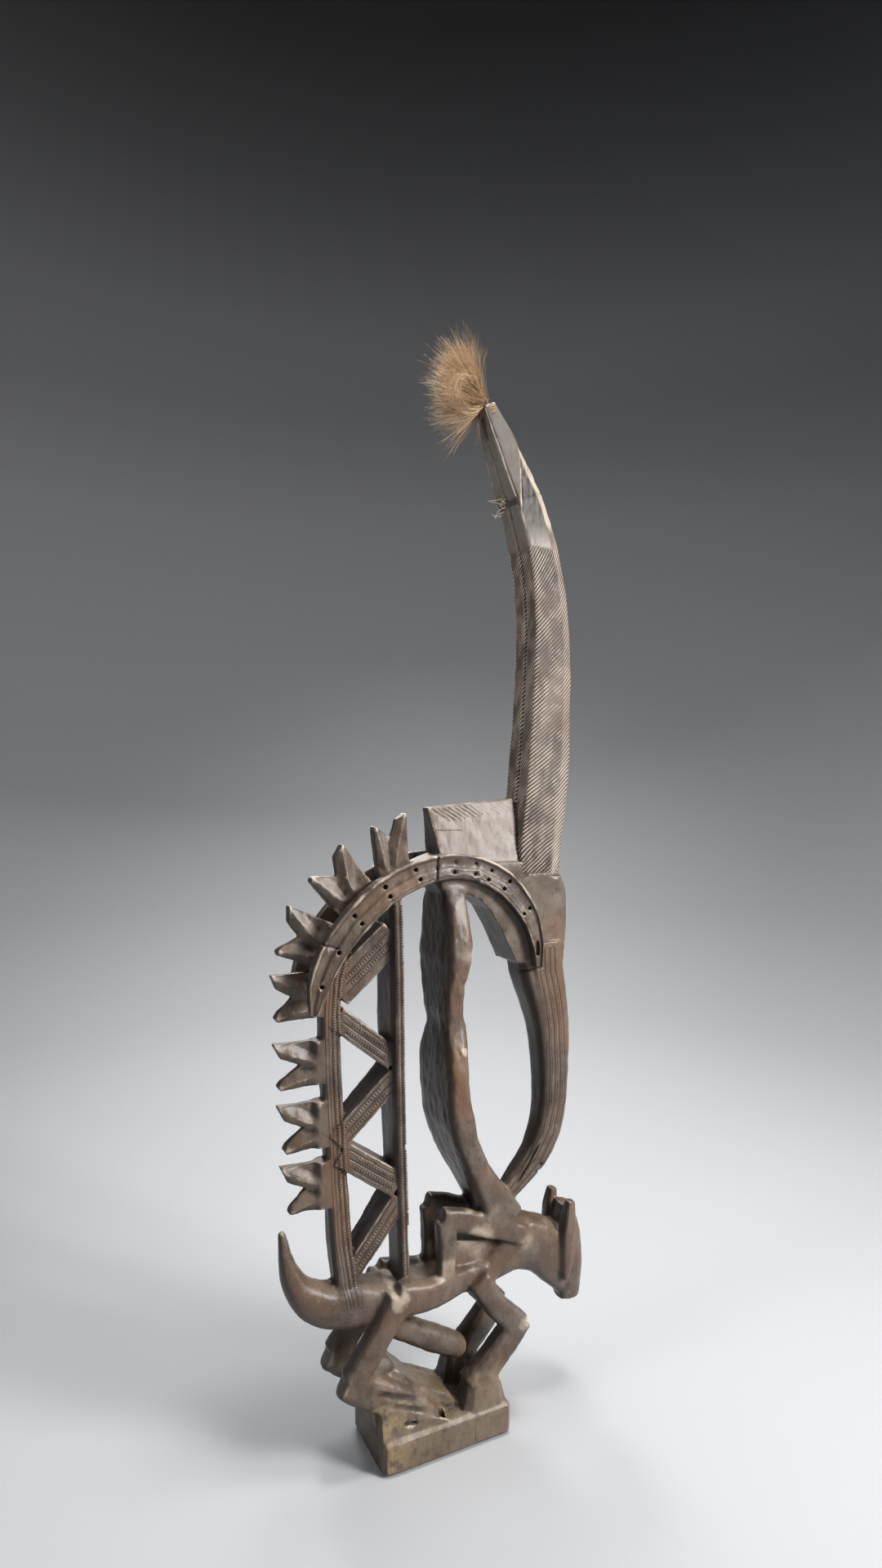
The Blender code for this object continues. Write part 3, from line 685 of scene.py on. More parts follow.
def smooth_carving(block):
    remesh = block.modifiers.new("surface", "REMESH")
    remesh.mode = "VOXEL"
    remesh.voxel_size = VOXEL
    applied(block)
    share = rounding(positions(block.data))
    group = block.vertex_groups.new(name="rounded")
    levels = 8
    for level in range(1, levels + 1):
        chosen = np.nonzero(np.round(share * levels) == level)[0].tolist()
        group.add(chosen, level / levels, "REPLACE")
    rounded = block.modifiers.new("rounded", "SMOOTH")
    rounded.factor = 0.5
    rounded.iterations = ROUNDING_PASSES
    rounded.vertex_group = "rounded"
    softened = block.modifiers.new("softened", "SMOOTH")
    softened.factor = 0.5
    softened.iterations = SOFTENING_PASSES
    applied(block)


def tool_marks(points):
    """Height of the adze and knife marks over the wood, with the rough stretch of the torso."""
    broad = value_noise(points, (0.013, 0.013, 0.022), 3) - 0.5
    small = value_noise(points, (0.0055, 0.0055, 0.010), 5) - 0.5
    fine = value_noise(points, (0.0026, 0.0026, 0.0055), 7) - 0.5
    _, off_torso = follow(points, TORSO_LINE)
    z = points[:, 2]
    rough = (np.abs(off_torso) < 0.03) * smoothstep(*ROUGH_TORSO, z) * (1 - smoothstep(0.418, 0.430, z))
    rough = np.maximum(rough, (z < 0.075) * 0.6)
    rough = np.maximum(rough, 0.8 * (np.abs(off_torso) < 0.03) * (z > 0.24) * (z < 0.50))
    steady = 0.45 + 0.55 * smoothstep(0.030, 0.045, z)
    return steady * (0.0010 * broad + 0.00055 * small * (1 + rough) + 0.00025 * fine * (1 + 2 * rough))


def cut_depth(points):
    """Depth of the single cut lines, from the side view."""
    depth = np.zeros(len(points))
    waver = 0.0008 * (value_noise(points, 0.006, 41) - 0.5)
    for start, end, half, deep, near, far in CUT_LINES:
        along, across = follow(points, (start, end))
        length = hypot(end[0] - start[0], end[1] - start[1])
        ends = smoothstep(-0.0002, 0.22 * length, along) * smoothstep(-0.0002, 0.22 * length, length - along)
        y = np.abs(points[:, 1])
        inside = smoothstep(near - 0.001, near + 0.001, y) * (1 - smoothstep(far, far + 0.001, y))
        profile = 1 - smoothstep(0.35 * half, 1.25 * half, np.abs(across + waver))
        depth = np.maximum(depth, deep * (0.15 + 0.85 * ends) * inside * profile)
    return depth


def head_cuts(points):
    """Depth of the slanted cuts on the head block, which fade towards the horns."""
    depth = np.zeros(len(points))
    block = (np.abs(points[:, 1]) < FLANK_MOST_Y) & (points[:, 2] > HEAD_CUT_LOW)
    block &= points[:, 0] < HEAD_CUT_FRONT
    near = points[block]
    fade = 1 - smoothstep(0, HEAD_CUT_FADE, near[:, 0] - HEAD_CUT_START[0]) * 0.75
    deepest = np.zeros(len(near))
    for index in range(HEAD_CUTS):
        x = HEAD_CUT_START[0] + index * HEAD_CUT_STEP
        z = HEAD_CUT_START[1] + HEAD_RISE * (x - HEAD_LEVEL_X)
        _, across = follow(near, ((x, z), (x + HEAD_CUT_RUN[0], z + HEAD_CUT_RUN[1])))
        deepest = np.maximum(deepest, 1 - smoothstep(0.2 * HEAD_CUT_HALF, HEAD_CUT_HALF, np.abs(across)))
    depth[block] = HEAD_CUT_DEPTH * deepest * fade
    return depth


def lean_head(points):
    """Raise the head block's top towards the horns, and wear back the brow below them."""
    shaped = points.copy()
    x, _, z = points.T
    block = smoothstep(*HEAD_RISE_ZONE, z) * (x > HEAD_BACK) * (x < HEAD_FRONT)
    shaped[:, 2] += HEAD_RISE * (x - HEAD_LEVEL_X) * block
    worn = smoothstep(*BROW_ZONE, z) * (z < BROW_TOP) * (x > BROW_BACK)
    shaped[:, 0] -= BROW_WORN * (x - BROW_BACK) * worn
    sides = smoothstep(*SHOULDER_SIDE_ZONE, np.abs(points[:, 1]))
    border = np.maximum(smoothstep(*SHOULDER_FRONT_ZONE, x), sides)
    shoulder = (z > SHOULDER_LOW) * (z < SHOULDER_TOP + 0.002) * (x > SHOULDER_BACK) * border
    shaped[:, 2] -= SHOULDER_DROP * (z - SHOULDER_LOW) * shoulder
    return shaped


def lump_height(points):
    height = np.zeros(len(points))
    for (x, z), radius, high in LUMPS:
        height += high * np.exp(-((points[:, 0] - x) ** 2 + (points[:, 2] - z) ** 2) / (0.5 * radius ** 2))
    return height


# Paleness of the listed spots: worn, with painted highlight
def worn_and_lit_spots(points):
    rubbed_and_lit = np.zeros(len(points))
    for (x, z), radius, strength in WORN_SPOTS:
        distance = np.hypot(points[:, 0] - x, points[:, 2] - z)
        rubbed_and_lit += strength * (1 - smoothstep(0.35 * radius, radius, distance))
    return rubbed_and_lit * (0.4 + 0.9 * value_noise(points, 0.012, 61))


def fin_facets(points):
    """Thin each fin from the ridges of its two lobes towards their edges, like two small roofs."""
    shaped = points.copy()
    for x, z, angle, upper, lower, spread in FINS:
        turn = radians(angle)
        dx, dz = points[:, 0] - x, points[:, 2] - z
        out = dx * cos(turn) + dz * sin(turn)
        along = dx * sin(turn) - dz * cos(turn)
        flat = np.stack([out, along], axis=1)
        distance = np.full(len(points), FAR)
        for ridge, reach in ((FIN_UPPER_RIDGE, upper), (FIN_LOWER_RIDGE, lower)):
            _, across = follow_flat(flat, [(a * reach, b * spread) for a, b in ridge])
            distance = np.minimum(distance, np.abs(across))
        inside = (out > 0.004) & (out < upper + 0.003) & (np.abs(along) < 1.08 * spread)
        inside &= np.abs(points[:, 1]) < FIN_HALF_WIDTH
        inside &= points[:, 0] < -0.02
        thin = 1 - (1 - FIN_EDGE_SHARE) * np.clip(distance / FIN_FACET, 0, 1)
        blend = smoothstep(0.008, 0.016, out) * inside
        shaped[:, 1] *= 1 + blend * (thin - 1)
    return shaped


def ear_bands(points):
    """Taper the ear plates' front ends, and raise the inner half of their channels over the outer half."""
    run, across = follow(points, EAR_ARCH_LINE)
    y = np.abs(points[:, 1])
    floor = smoothstep(0.0255, 0.0262, y) * (1 - smoothstep(0.0276, 0.0284, y)) * (np.abs(across) < 0.0085)
    inner = 1 - smoothstep(-0.0006, 0.0006, across)
    shaped = points.copy()
    shaped[:, 1] += np.sign(points[:, 1]) * ARCH_STEP * floor * inner * (run > 0.030)
    plate = smoothstep(0.0200, 0.0206, y) * (np.abs(across) < 0.016) * (points[:, 2] > 0.39)
    shift = -ARCH_TAPER * across * plate * (1 - smoothstep(0, ARCH_TAPER_RUN, run))
    middles = np.array([spot_on(EAR_ARCH_LINE, spot, 0.0)[0] for spot in np.linspace(0, ARCH_TAPER_RUN, 60)])
    index = np.clip(run / ARCH_TAPER_RUN * 59, 0, 59).astype(int)
    away = points[:, (0, 2)] - middles[index]
    away /= np.linalg.norm(away, axis=1)[:, None].clip(1e-6)
    shaped[:, (0, 2)] += away * (np.sign(across) * shift)[:, None]
    return shaped


def all_cuts(points):
    return np.maximum(cut_depth(points), head_cuts(points))


def worn_corner(points):
    """How far the plinth's two back corners are worn inwards."""
    x, y, z = points.T
    corner_x, corner_y = PLINTH_CORNER
    near = np.hypot(x - corner_x, y + corner_y)
    far = np.hypot(x - corner_x, y - corner_y)
    worn = np.exp(-(near / 0.006) ** 2) + 0.6 * np.exp(-(far / 0.005) ** 2)
    return PLINTH_WEAR * worn * (z < 0.07) * (0.4 + value_noise(points, 0.008, 43))


def carve_surface(block):
    mesh = block.data
    points = ear_bands(fin_facets(lean_head(positions(mesh))))
    set_positions(mesh, points)
    height = tool_marks(points) + lump_height(points) - all_cuts(points) - worn_corner(points)
    points = points + normals(mesh) * height[:, None]
    points[:, 2] = np.maximum(points[:, 2], 0)
    set_positions(mesh, points)
    narrow = edge_bend(mesh, 4)
    broad = edge_bend(mesh, 40)
    wear = smoothstep(0.9, 3.0, narrow) * 0.8 + smoothstep(0.8, 2.6, broad) * 0.75
    # The listed spots made pale: worn, with painted highlight
    wear += 1.5 * worn_and_lit_spots(points) * (0.65 + 0.35 * smoothstep(-0.5, 1.5, broad))
    # Painted highlight: faces turned up are made paler, as if lit from above
    wear += 0.30 * smoothstep(0.25, 0.80, normals(mesh)[:, 2]) * (0.3 + value_noise(points, 0.010, 63))
    set_numbers(mesh, "wear", np.clip(wear, 0, 1))
    # Painted shade in the hollows
    hollow = smoothstep(0.5, 2.2, -narrow) + 0.8 * smoothstep(0.4, 2.2, -broad)
    set_numbers(mesh, "hollow", np.clip(hollow, 0, 1))
    set_numbers(mesh, "cuts", np.clip(cut_depth(points) / 0.0022 + head_cuts(points) / 0.0011, 0, 1))
    # Painted shade: faces turned back, away from the key light, and faces turned down
    up = normals(mesh)[:, 2]
    back = -normals(mesh)[:, 0]
    shade = 0.95 * smoothstep(0.20, 0.75, back) + 0.75 * smoothstep(0.05, 0.80, -up)
    set_numbers(mesh, "shade", np.clip(shade, 0, 1))


def thin_out(block, triangles):
    faces = sum(len(p.vertices) - 2 for p in block.data.polygons)
    fewer = block.modifiers.new("fewer", "DECIMATE")
    fewer.ratio = min(1.0, triangles / faces)
    applied(block)


def mark_colours(mesh):
    """Where the wood is redder, ochre or weathered grey, from its place on the carving."""
    points = positions(mesh)
    x, y, z = points.T
    _, off_torso = follow(points, TORSO_LINE)
    torso = (1 - smoothstep(0.014, 0.030, np.abs(off_torso))) * smoothstep(0.19, 0.25, z) * (z < 0.50)
    _, off_back = follow(points, MANE_BACK_LINE)
    back = (1 - smoothstep(0.008, 0.014, np.abs(off_back))) * (z > 0.16)
    front = smoothstep(0.095, 0.115, x) * (z < 0.83) * (z > 0.20)
    low = (1 - smoothstep(0.15, 0.24, z)) * smoothstep(0.04, 0.07, z)
    red = 0.24 + 0.60 * torso + 0.50 * back + 0.42 * front + 0.20 * low
    set_numbers(mesh, "red", np.clip(red * (z < 0.80) * smoothstep(0.02, 0.07, z), 0, 1))
    corner = np.exp(-((x - PLINTH_CORNER[0]) / 0.020) ** 2) * (1 - smoothstep(0.050, 0.070, z))
    set_numbers(mesh, "ochre", np.clip(0.30 * (z < 0.060) + 0.8 * corner, 0, 1))
    set_numbers(mesh, "weathered", smoothstep(HATCH_END_Z, WEATHERED_Z, z))


def mark_lines(mesh):
    """Numbers that are whole on each cut line, and where they count."""
    points = positions(mesh)
    facing = smoothstep(0.55, 0.85, np.abs(normals(mesh)[:, 1])) * (np.abs(points[:, 1]) < FLANK_MOST_Y)
    value = np.full(len(points), 0.5)
    lined = np.zeros(len(points))
    for line, reach, offsets in LINED:
        along, across = follow(points, line)
        end = line_length(line)
        inside = 1 - smoothstep(reach - 0.0008, reach, np.abs(across))
        inside = inside * (along > 0.004) * (along < end - 0.004)
        better = inside > lined
        spots = (offsets[0] - 0.004, *offsets, offsets[-1] + 0.004)
        value = np.where(better, np.interp(across, spots, np.arange(len(spots))), value)
        lined = np.maximum(lined, inside)
    set_numbers(mesh, "cut_lines", value)
    set_numbers(mesh, "lined", lined * facing)


def finish_piece(item, material):
    item.data.materials.clear()
    item.data.materials.append(material)
    item.data.shade_smooth()
    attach(item, "root")


def make_carving(wood):
    block = carving_block()
    smooth_carving(block)
    carve_surface(block)
    thin_out(block, WOOD_TRIANGLES)
    mark_colours(block.data)
    mark_lines(block.data)
    block.name = "carved_wood"
    finish_piece(block, wood)
    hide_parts("carved_headdress")
    return block


# Rows of small pads left standing between the notches

def seated_pads(tree, row):
    """Places, turns and sizes of one row of pads on both flanks, where the wood lies within reach."""
    line, offset, pitch, start, end, most_y, length, width, height = row
    pads = []
    for run in np.arange(start, min(end, line_length(line)), pitch):
        spot, heading = spot_on(line, run, offset)
        angle = np.arctan2(heading[1], heading[0])
        for side in (-1, 1):
            hit, normal, _, _ = tree.ray_cast(Vector((spot[0], 0.08 * side, spot[1])), Vector((0, -side, 0)))
            if hit is None or abs(hit.y) > most_y or abs(normal.y) < 0.7:
                continue
            along = Vector((cos(angle), 0, sin(angle)))
            along = (along - normal * along.dot(normal)).normalized()
            turn = Matrix((along, normal.cross(along), normal)).transposed().to_euler()
            pads.append((hit, turn, (length, width, height)))
    return pads


def new_tree(name, source, size, result):
    """A Geometry Nodes tree with one geometry and one number going in, and its input node."""
    tree = bpy.data.node_groups.new(name, "GeometryNodeTree")
    tree.interface.new_socket(source, in_out="INPUT", socket_type="NodeSocketGeometry")
    tree.interface.new_socket(size, in_out="INPUT", socket_type="NodeSocketFloat")
    tree.interface.new_socket(result, in_out="OUTPUT", socket_type="NodeSocketGeometry")
    return tree, tree.nodes.new("NodeGroupInput")


def attribute_node(tree, name, kind):
    node = tree.nodes.new("GeometryNodeInputNamedAttribute")
    node.data_type = kind
    node.inputs["Name"].default_value = name
    return node


def end_tree(tree, geometry, material, result):
    """Make the geometry real, give it the material and lead it out of the tree."""
    real = tree.nodes.new("GeometryNodeRealizeInstances")
    paint = tree.nodes.new("GeometryNodeSetMaterial")
    paint.inputs["Material"].default_value = material
    end = tree.nodes.new("NodeGroupOutput")
    tree.links.new(geometry, real.inputs["Geometry"])
    tree.links.new(real.outputs["Geometry"], paint.inputs["Geometry"])
    tree.links.new(paint.outputs["Geometry"], end.inputs[result])


def run_tree(item, tree, size_name, size):
    """Run the tree on the object with its number set, and keep the mesh that it makes."""
    modifier = item.modifiers.new(tree.name, "NODES")
    modifier.node_group = tree
    names = {socket.name: socket.identifier for socket in tree.interface.items_tree}
    modifier[names[size_name]] = size
    applied(item)


def pad_tree(material):
    """Geometry nodes that set a small four-sided pad, narrower at its top, on every point."""
    tree, start = new_tree("standing pads", "Spots", "Top share", "Pads")
    nodes, links = tree.nodes, tree.links
    pad = nodes.new("GeometryNodeMeshCone")
    pad.inputs["Vertices"].default_value = 4
    pad.inputs["Radius Bottom"].default_value = 0.5 * 2 ** 0.5
    pad.inputs["Depth"].default_value = 2.0
    square = nodes.new("GeometryNodeTransform")
    square.inputs["Rotation"].default_value = (0, 0, radians(45))
    square.inputs["Translation"].default_value = (0, 0, -1.0)
    place = nodes.new("GeometryNodeInstanceOnPoints")
    turn = attribute_node(tree, "turn", "FLOAT_VECTOR")
    rotation = nodes.new("FunctionNodeEulerToRotation")
    size = attribute_node(tree, "size", "FLOAT_VECTOR")
    links.new(start.outputs["Top share"], pad.inputs["Radius Top"])
    links.new(pad.outputs["Mesh"], square.inputs["Geometry"])
    links.new(start.outputs["Spots"], place.inputs["Points"])
    links.new(square.outputs["Geometry"], place.inputs["Instance"])
    links.new(turn.outputs["Attribute"], rotation.inputs["Euler"])
    links.new(rotation.outputs["Rotation"], place.inputs["Rotation"])
    links.new(size.outputs["Attribute"], place.inputs["Scale"])
    end_tree(tree, place.outputs["Instances"], material, "Pads")
    return tree


def make_pads(block, wood):
    tree = BVHTree.FromObject(block, bpy.context.evaluated_depsgraph_get())
    pads = []
    for row in DOTTED_ROWS:
        pads += seated_pads(tree, row)
    pads += seated_pads(tree, HEAD_DOTS)
    random = np.random.default_rng(31)
    mesh = bpy.data.meshes.new("carved_pads")
    mesh.from_pydata([hit + normal_shift(turn, size) for hit, turn, size in pads], [], [])
    set_vectors(mesh, "turn", [tuple(turn) for _, turn, _ in pads])
    sizes = np.array([size for _, _, size in pads]) * random.uniform(0.85, 1.12, (len(pads), 3))
    set_vectors(mesh, "size", sizes)
    item = new_object("carved_pads", mesh)
    run_tree(item, pad_tree(wood), "Top share", PAD_TOP_SHARE)
    mark_colours(item.data)
    set_numbers(item.data, "wear", PAD_WEAR)
    finish_piece(item, wood)


def normal_shift(turn, size):
    """The way from a pad's foot on the wood to its middle."""
    return turn.to_matrix() @ Vector((0, 0, size[2]))


# The horns

def horn_section():
    """Points of the section, each with the corner it follows and its share of the way round."""
    corners = HORN_CORNERS + HORN_CORNERS[:1]
    points, last_corner = [], []
    for index, (first, second) in enumerate(zip(corners, corners[1:])):
        for share in np.linspace(0, 1, first[2], endpoint=False):
            depth = first[0] + (second[0] - first[0]) * share
            points.append((depth, first[1] + (second[1] - first[1]) * share))
            last_corner.append(index)
    points = np.array(points)
    steps = np.linalg.norm(np.diff(np.vstack([points, points[:1]]) * (0.040, 0.0185), axis=0), axis=1)
    share = np.concatenate([[0], np.cumsum(steps)[:-1]]) / steps.sum()
    return points, np.array(last_corner), share


def horn_mesh(side):
    """One closed horn whose rows of faces climb with the hatching."""
    path = smooth_line(HORN_STATIONS, 24)
    run = np.concatenate([[0], np.cumsum(np.linalg.norm(np.diff(path[:, :2], axis=0), axis=1))])
    section, corner, share = horn_section()
    if side < 0:
        section, corner, share = section[::-1], corner[::-1], (1 - share)[::-1]
    step = HATCH_PITCH / HATCH_STEPS
    shift_rows = HATCH_TURN_PITCHES * HATCH_STEPS
    rows = int(run[-1] / step) + shift_rows + 2
    count = len(section)
    row = np.repeat(np.arange(rows), count)
    column = np.tile(np.arange(count), rows)
    along = np.clip((row - shift_rows + shift_rows * share[column]) * step, 0, run[-1])
    x, z, depth, width, lean = (np.interp(along, run, values) for values in path.T)
    hx = np.interp(along, run, np.gradient(path[:, 0], run))
    hz = np.interp(along, run, np.gradient(path[:, 1], run))
    size = np.hypot(hx, hz)
    front = section[column, 0] * depth / 2
    out = section[column, 1] * width / 2
    points = np.stack([x + front * hz / size, side * (HORN_Y - lean + out), z - front * hx / size], axis=1)
    faces = []
    for low in range(rows - 1):
        for spot in range(count - 1):
            first = low * count + spot
            faces.append((first, first + 1, first + 1 + count, first + count))
    for low in range(rows - 1 - shift_rows):
        last = low * count + count - 1
        first = (low + shift_rows) * count
        faces.append((last, first, first + count, last + count))
    mesh = bpy.data.meshes.new("horn")
    mesh.from_pydata(points.tolist(), [], faces)
    set_numbers(mesh, "hatch", np.array(HATCH_PROFILE)[row % HATCH_STEPS])
    set_numbers(mesh, "corner", corner[column])
    set_numbers(mesh, "along", along)
    set_numbers(mesh, "around", share[column])
    close_horn(mesh)
    return mesh


def close_horn(mesh):
    """Merge the rows that were cut off at the ends, and cap both ends."""
    shape = bmesh.new()
    shape.from_mesh(mesh)
    bmesh.ops.remove_doubles(shape, verts=shape.verts, dist=0.000002)
    bmesh.ops.dissolve_degenerate(shape, edges=shape.edges, dist=0.000001)
    loose = [vert for vert in shape.verts if not vert.link_faces]
    bmesh.ops.delete(shape, geom=loose, context="VERTS")
    wires = [edge for edge in shape.edges if not edge.link_faces]
    bmesh.ops.delete(shape, geom=wires, context="EDGES")
    bmesh.ops.holes_fill(shape, edges=[edge for edge in shape.edges if edge.is_boundary], sides=0)
    bmesh.ops.triangulate(shape, faces=[face for face in shape.faces if len(face.verts) > 4])
    bmesh.ops.recalc_face_normals(shape, faces=shape.faces)
    shape.to_mesh(mesh)
    shape.free()


def make_horn(side, wood):
    mesh = horn_mesh(side)
    points = positions(mesh)
    x, y, z = points.T
    corner = np.round(get_numbers(mesh, "corner"))
    hatch = get_numbers(mesh, "hatch")
    zone = 1 - smoothstep(HATCH_END_Z - 0.003, HATCH_END_Z + 0.001, z)
    zone = zone * smoothstep(0.0, 0.004, z - HATCH_START_Z)
    patchy = 0.55 + 0.45 * smoothstep(0.25, 0.55, value_noise(points, (0.012, 0.012, 0.025), 23))
    height = -HATCH_DEPTH * hatch * zone * patchy
    height += 0.0010 * (value_noise(points, (0.011, 0.011, 0.022), 25) - 0.5)
    height += 0.0004 * (value_noise(points, (0.004, 0.004, 0.010), 26) - 0.5)
    rough = smoothstep(WEATHERED_Z - 0.004, WEATHERED_Z + 0.004, z)
    outer = (corner == HORN_OUTER_CORNER) * rough
    height += rough * 0.0012 * (value_noise(points, (0.0028, 0.0028, 0.016), 27) - 0.5)
    height -= outer * 0.0016 * value_noise(points, (0.0030, 0.0030, 0.0050), 28)
    crack_x, crack_z, slope = CRACK
    crack = np.exp(-((z - crack_z - slope * (x - crack_x)) / 0.0009) ** 2)
    notch = np.exp(-((x - crack_x) / 0.005) ** 2) * np.exp(-((z - crack_z) / 0.0028) ** 2)
    height -= CRACK_DEPTH * crack + 0.0020 * notch
    set_positions(mesh, points + normals(mesh) * height[:, None])
    bevel = corner == HORN_BEVEL_CORNER
    rear = corner == HORN_REAR_CORNER
    speckled = smoothstep(0.35, 0.65, value_noise(points, (0.005, 0.005, 0.009), 29))
    bend = edge_bend(mesh, 8)
    ridges = (1 - hatch) * zone
    # Paler hatch ridges and edges are worn; the paler front and rear outer bevels are worn and carry painted
    # highlight where the light catches them
    wear = 0.40 * smoothstep(0.5, 2.4, bend) + ridges * (0.45 + 0.35 * speckled) + 0.45 * bevel + 0.45 * rear
    wear += rough * (0.35 * bevel + 0.30 * rear - 0.5 * outer)
    set_numbers(mesh, "wear", np.clip(wear * (1 - 0.7 * hatch * zone), 0, 1))
    # Painted shade in the horn's hollows and in the notch at the crack
    set_numbers(mesh, "hollow", np.clip(0.5 * smoothstep(0.6, 2.4, -bend) + 0.8 * notch, 0, 1))
    mark_colours(mesh)
    dark = hatch ** 0.9 * zone * (0.6 + 0.4 * patchy) + crack + outer * (0.35 + 0.5 * speckled)
    set_numbers(mesh, "cuts", np.clip(dark, 0, 1))
    set_numbers(mesh, "shade", 0)
    horn = new_object("horn_right" if side > 0 else "horn_left", mesh)
    finish_piece(horn, wood)


# The tuft

def lock_hairs(random, heading, length, curl, spread, tone, hairs, late=1.0):
    """Points of the hairs of one lock, which leave the binding together and open towards their ends."""
    share = np.linspace(0, 1, HAIR_POINTS)
    step = length / (HAIR_POINTS - 1)
    points, tones = [], []
    for _ in range(hairs):
        own = random.normal(0, 1, 6)
        turn = heading + 0.08 * own[0] + (curl + 0.20 * own[1]) * share ** late + 0.12 * own[2] * share ** 2
        scale = 1 + 0.10 * own[3]
        run_x = np.concatenate([[0], np.cumsum(np.cos(turn[1:]))]) * step * scale
        run_z = np.concatenate([[0], np.cumsum(np.sin(turn[1:]))]) * step * scale
        y = length * (spread + 0.07 * own[4]) * share ** 0.85
        y = np.clip(y + 0.0010 * np.sin(2 * pi * (share * 1.3 + own[5])), -TUFT_MOST_Y, TUFT_MOST_Y)
        start = random.normal(0, 1, 3) * (0.0013, 0.0024, 0.0018)
        x = TUFT_ROOT.x + start[0] + run_x
        z = TUFT_ROOT.z + start[2] + run_z
        points.append(np.stack([x, start[1] + y, z], axis=1))
        tones.append(np.full(HAIR_POINTS, np.clip(tone + random.normal(0, 0.12), 0, 1)))
    return points, tones


def tuft_hairs():
    random = np.random.default_rng(12)
    points, tones = [], []
    for count, middle, scatter, reach, bow in LOCK_GROUPS:
        for _ in range(count):
            own = random.normal(0, 1, 5)
            heading = radians(middle + scatter * np.clip(own[0], -1.6, 1.6))
            tone = np.clip(0.52 + 0.20 * own[3], 0.05, 1)
            more, shades = lock_hairs(random, heading, reach + 0.0045 * own[1], bow + 0.25 * own[2],
                                      0.17 * own[4], tone, HAIRS_PER_LOCK)
            points += more
            tones += shades
    for curl, heading, length, tone in LOOPS:
        more, shades = lock_hairs(random, radians(heading), length, curl, -0.20, tone, HAIRS_PER_LOOP, 1.9)
        points += more
        tones += shades
    for heading, length, tone in DARK_LOCKS:
        more, shades = lock_hairs(random, radians(heading), length, 0.8, -0.05, tone, HAIRS_PER_DARK_LOCK)
        points += more
        tones += shades
    shares = [np.linspace(0, 1, HAIR_POINTS)] * len(points)
    return points, tones, shares


def horn_wisps():
    """A few loose fibres at the crack in the near horn."""
    random = np.random.default_rng(5)
    share = np.linspace(0, 1, HAIR_POINTS)
    points = []
    for _ in range(WISPS):
        turn = radians(random.uniform(150, 235)) + random.normal(0, 0.8) * share
        step = random.uniform(0.007, 0.022) / HAIR_POINTS
        x = 0.0700 + random.uniform(-0.002, 0.004) + np.cumsum(np.cos(turn)) * step
        z = random.uniform(0.853, 0.872) + np.cumsum(np.sin(turn)) * step
        y = -0.012 - share * random.uniform(0.0, 0.006)
        points.append(np.stack([x, y, z], axis=1))
    return points


def binding_cord():
    """Turns of thin cord round both horn tips."""
    count = BINDING_TURNS * BINDING_STEPS
    turn = np.linspace(0, 2 * pi * BINDING_TURNS, count)
    rise = np.linspace(-BINDING_HALF_LENGTH, BINDING_HALF_LENGTH, count)
    heading = np.array((-0.42, 0.0, 0.91))
    across = np.array((0.91, 0.0, 0.42))
    deep, wide = BINDING_RADII
    return (np.array(BINDING_CENTRE) + rise[:, None] * heading + np.cos(turn)[:, None] * deep * across
            + np.sin(turn)[:, None] * wide * np.array((0, 1, 0)))


def strand_tree(material):
    """Geometry nodes that turn loose edges into thin tapering hairs."""
    tree, start = new_tree("hair strands", "Lines", "Strand radius", "Hair")
    nodes, links = tree.nodes, tree.links
    curves = nodes.new("GeometryNodeMeshToCurve")
    taper = attribute_node(tree, "thickness", "FLOAT")
    section = nodes.new("GeometryNodeCurvePrimitiveCircle")
    section.inputs["Resolution"].default_value = 3
    sweep = nodes.new("GeometryNodeCurveToMesh")
    sweep.inputs["Fill Caps"].default_value = True
    links.new(start.outputs["Lines"], curves.inputs["Mesh"])
    links.new(curves.outputs["Curve"], sweep.inputs["Curve"])
    links.new(start.outputs["Strand radius"], section.inputs["Radius"])
    links.new(section.outputs["Curve"], sweep.inputs["Profile Curve"])
    links.new(taper.outputs["Attribute"], sweep.inputs["Scale"])
    end_tree(tree, sweep.outputs["Mesh"], material, "Hair")
    return tree


def make_tuft(material):
    lines, tones, shares = tuft_hairs()
    thickness = [1 - 0.6 * share for share in shares]
    for wisp in horn_wisps():
        lines.append(wisp)
        tones.append(np.full(len(wisp), 0.9))
        shares.append(np.ones(len(wisp)))
        thickness.append(np.full(len(wisp), WISP_THICKNESS))
    cord = binding_cord()
    lines.append(cord)
    tones.append(np.full(len(cord), 0.55))
    shares.append(np.ones(len(cord)))
    thickness.append(np.full(len(cord), CORD_THICKNESS))
    edges, start = [], 0
    for line in lines:
        edges += [(start + index, start + index + 1) for index in range(len(line) - 1)]
        start += len(line)
    mesh = bpy.data.meshes.new("hair_tuft_strands")
    mesh.from_pydata(np.vstack(lines).tolist(), edges, [])
    set_numbers(mesh, "strand", np.concatenate(tones))
    set_numbers(mesh, "share", np.concatenate(shares))
    set_numbers(mesh, "thickness", np.concatenate(thickness))
    tuft = new_object("hair_tuft_strands", mesh)
    run_tree(tuft, strand_tree(material), "Strand radius", HAIR_RADIUS)
    finish_piece(tuft, material)
    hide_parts("hair_tuft")


# Studio

CAMERA_PLACE = (-0.34883, -0.72858, 0.59815)
CAMERA_AZIMUTH = 26.2
CAMERA_LENS = 20.0
FLOOR_FLAT = 0.9
WALL_RADIUS = 3.4
WALL_RISE = 2.6
WALL_TOP = 5.2
FLOOR_CURVE = 2.6
FLOOR_STEPS = 24
FLOOR_SIDES = 96
# Height on the wall and the grey there: painted light, brightest around the middle of the wall, and painted
# shade darkening it towards its top
FLOOR_GREYS = (
    (0.0, 0.46), (0.03, 0.42), (0.24, 0.38), (0.78, 0.40), (1.74, 0.50), (2.8, 0.42), (3.6, 0.24),
    (4.3, 0.13))


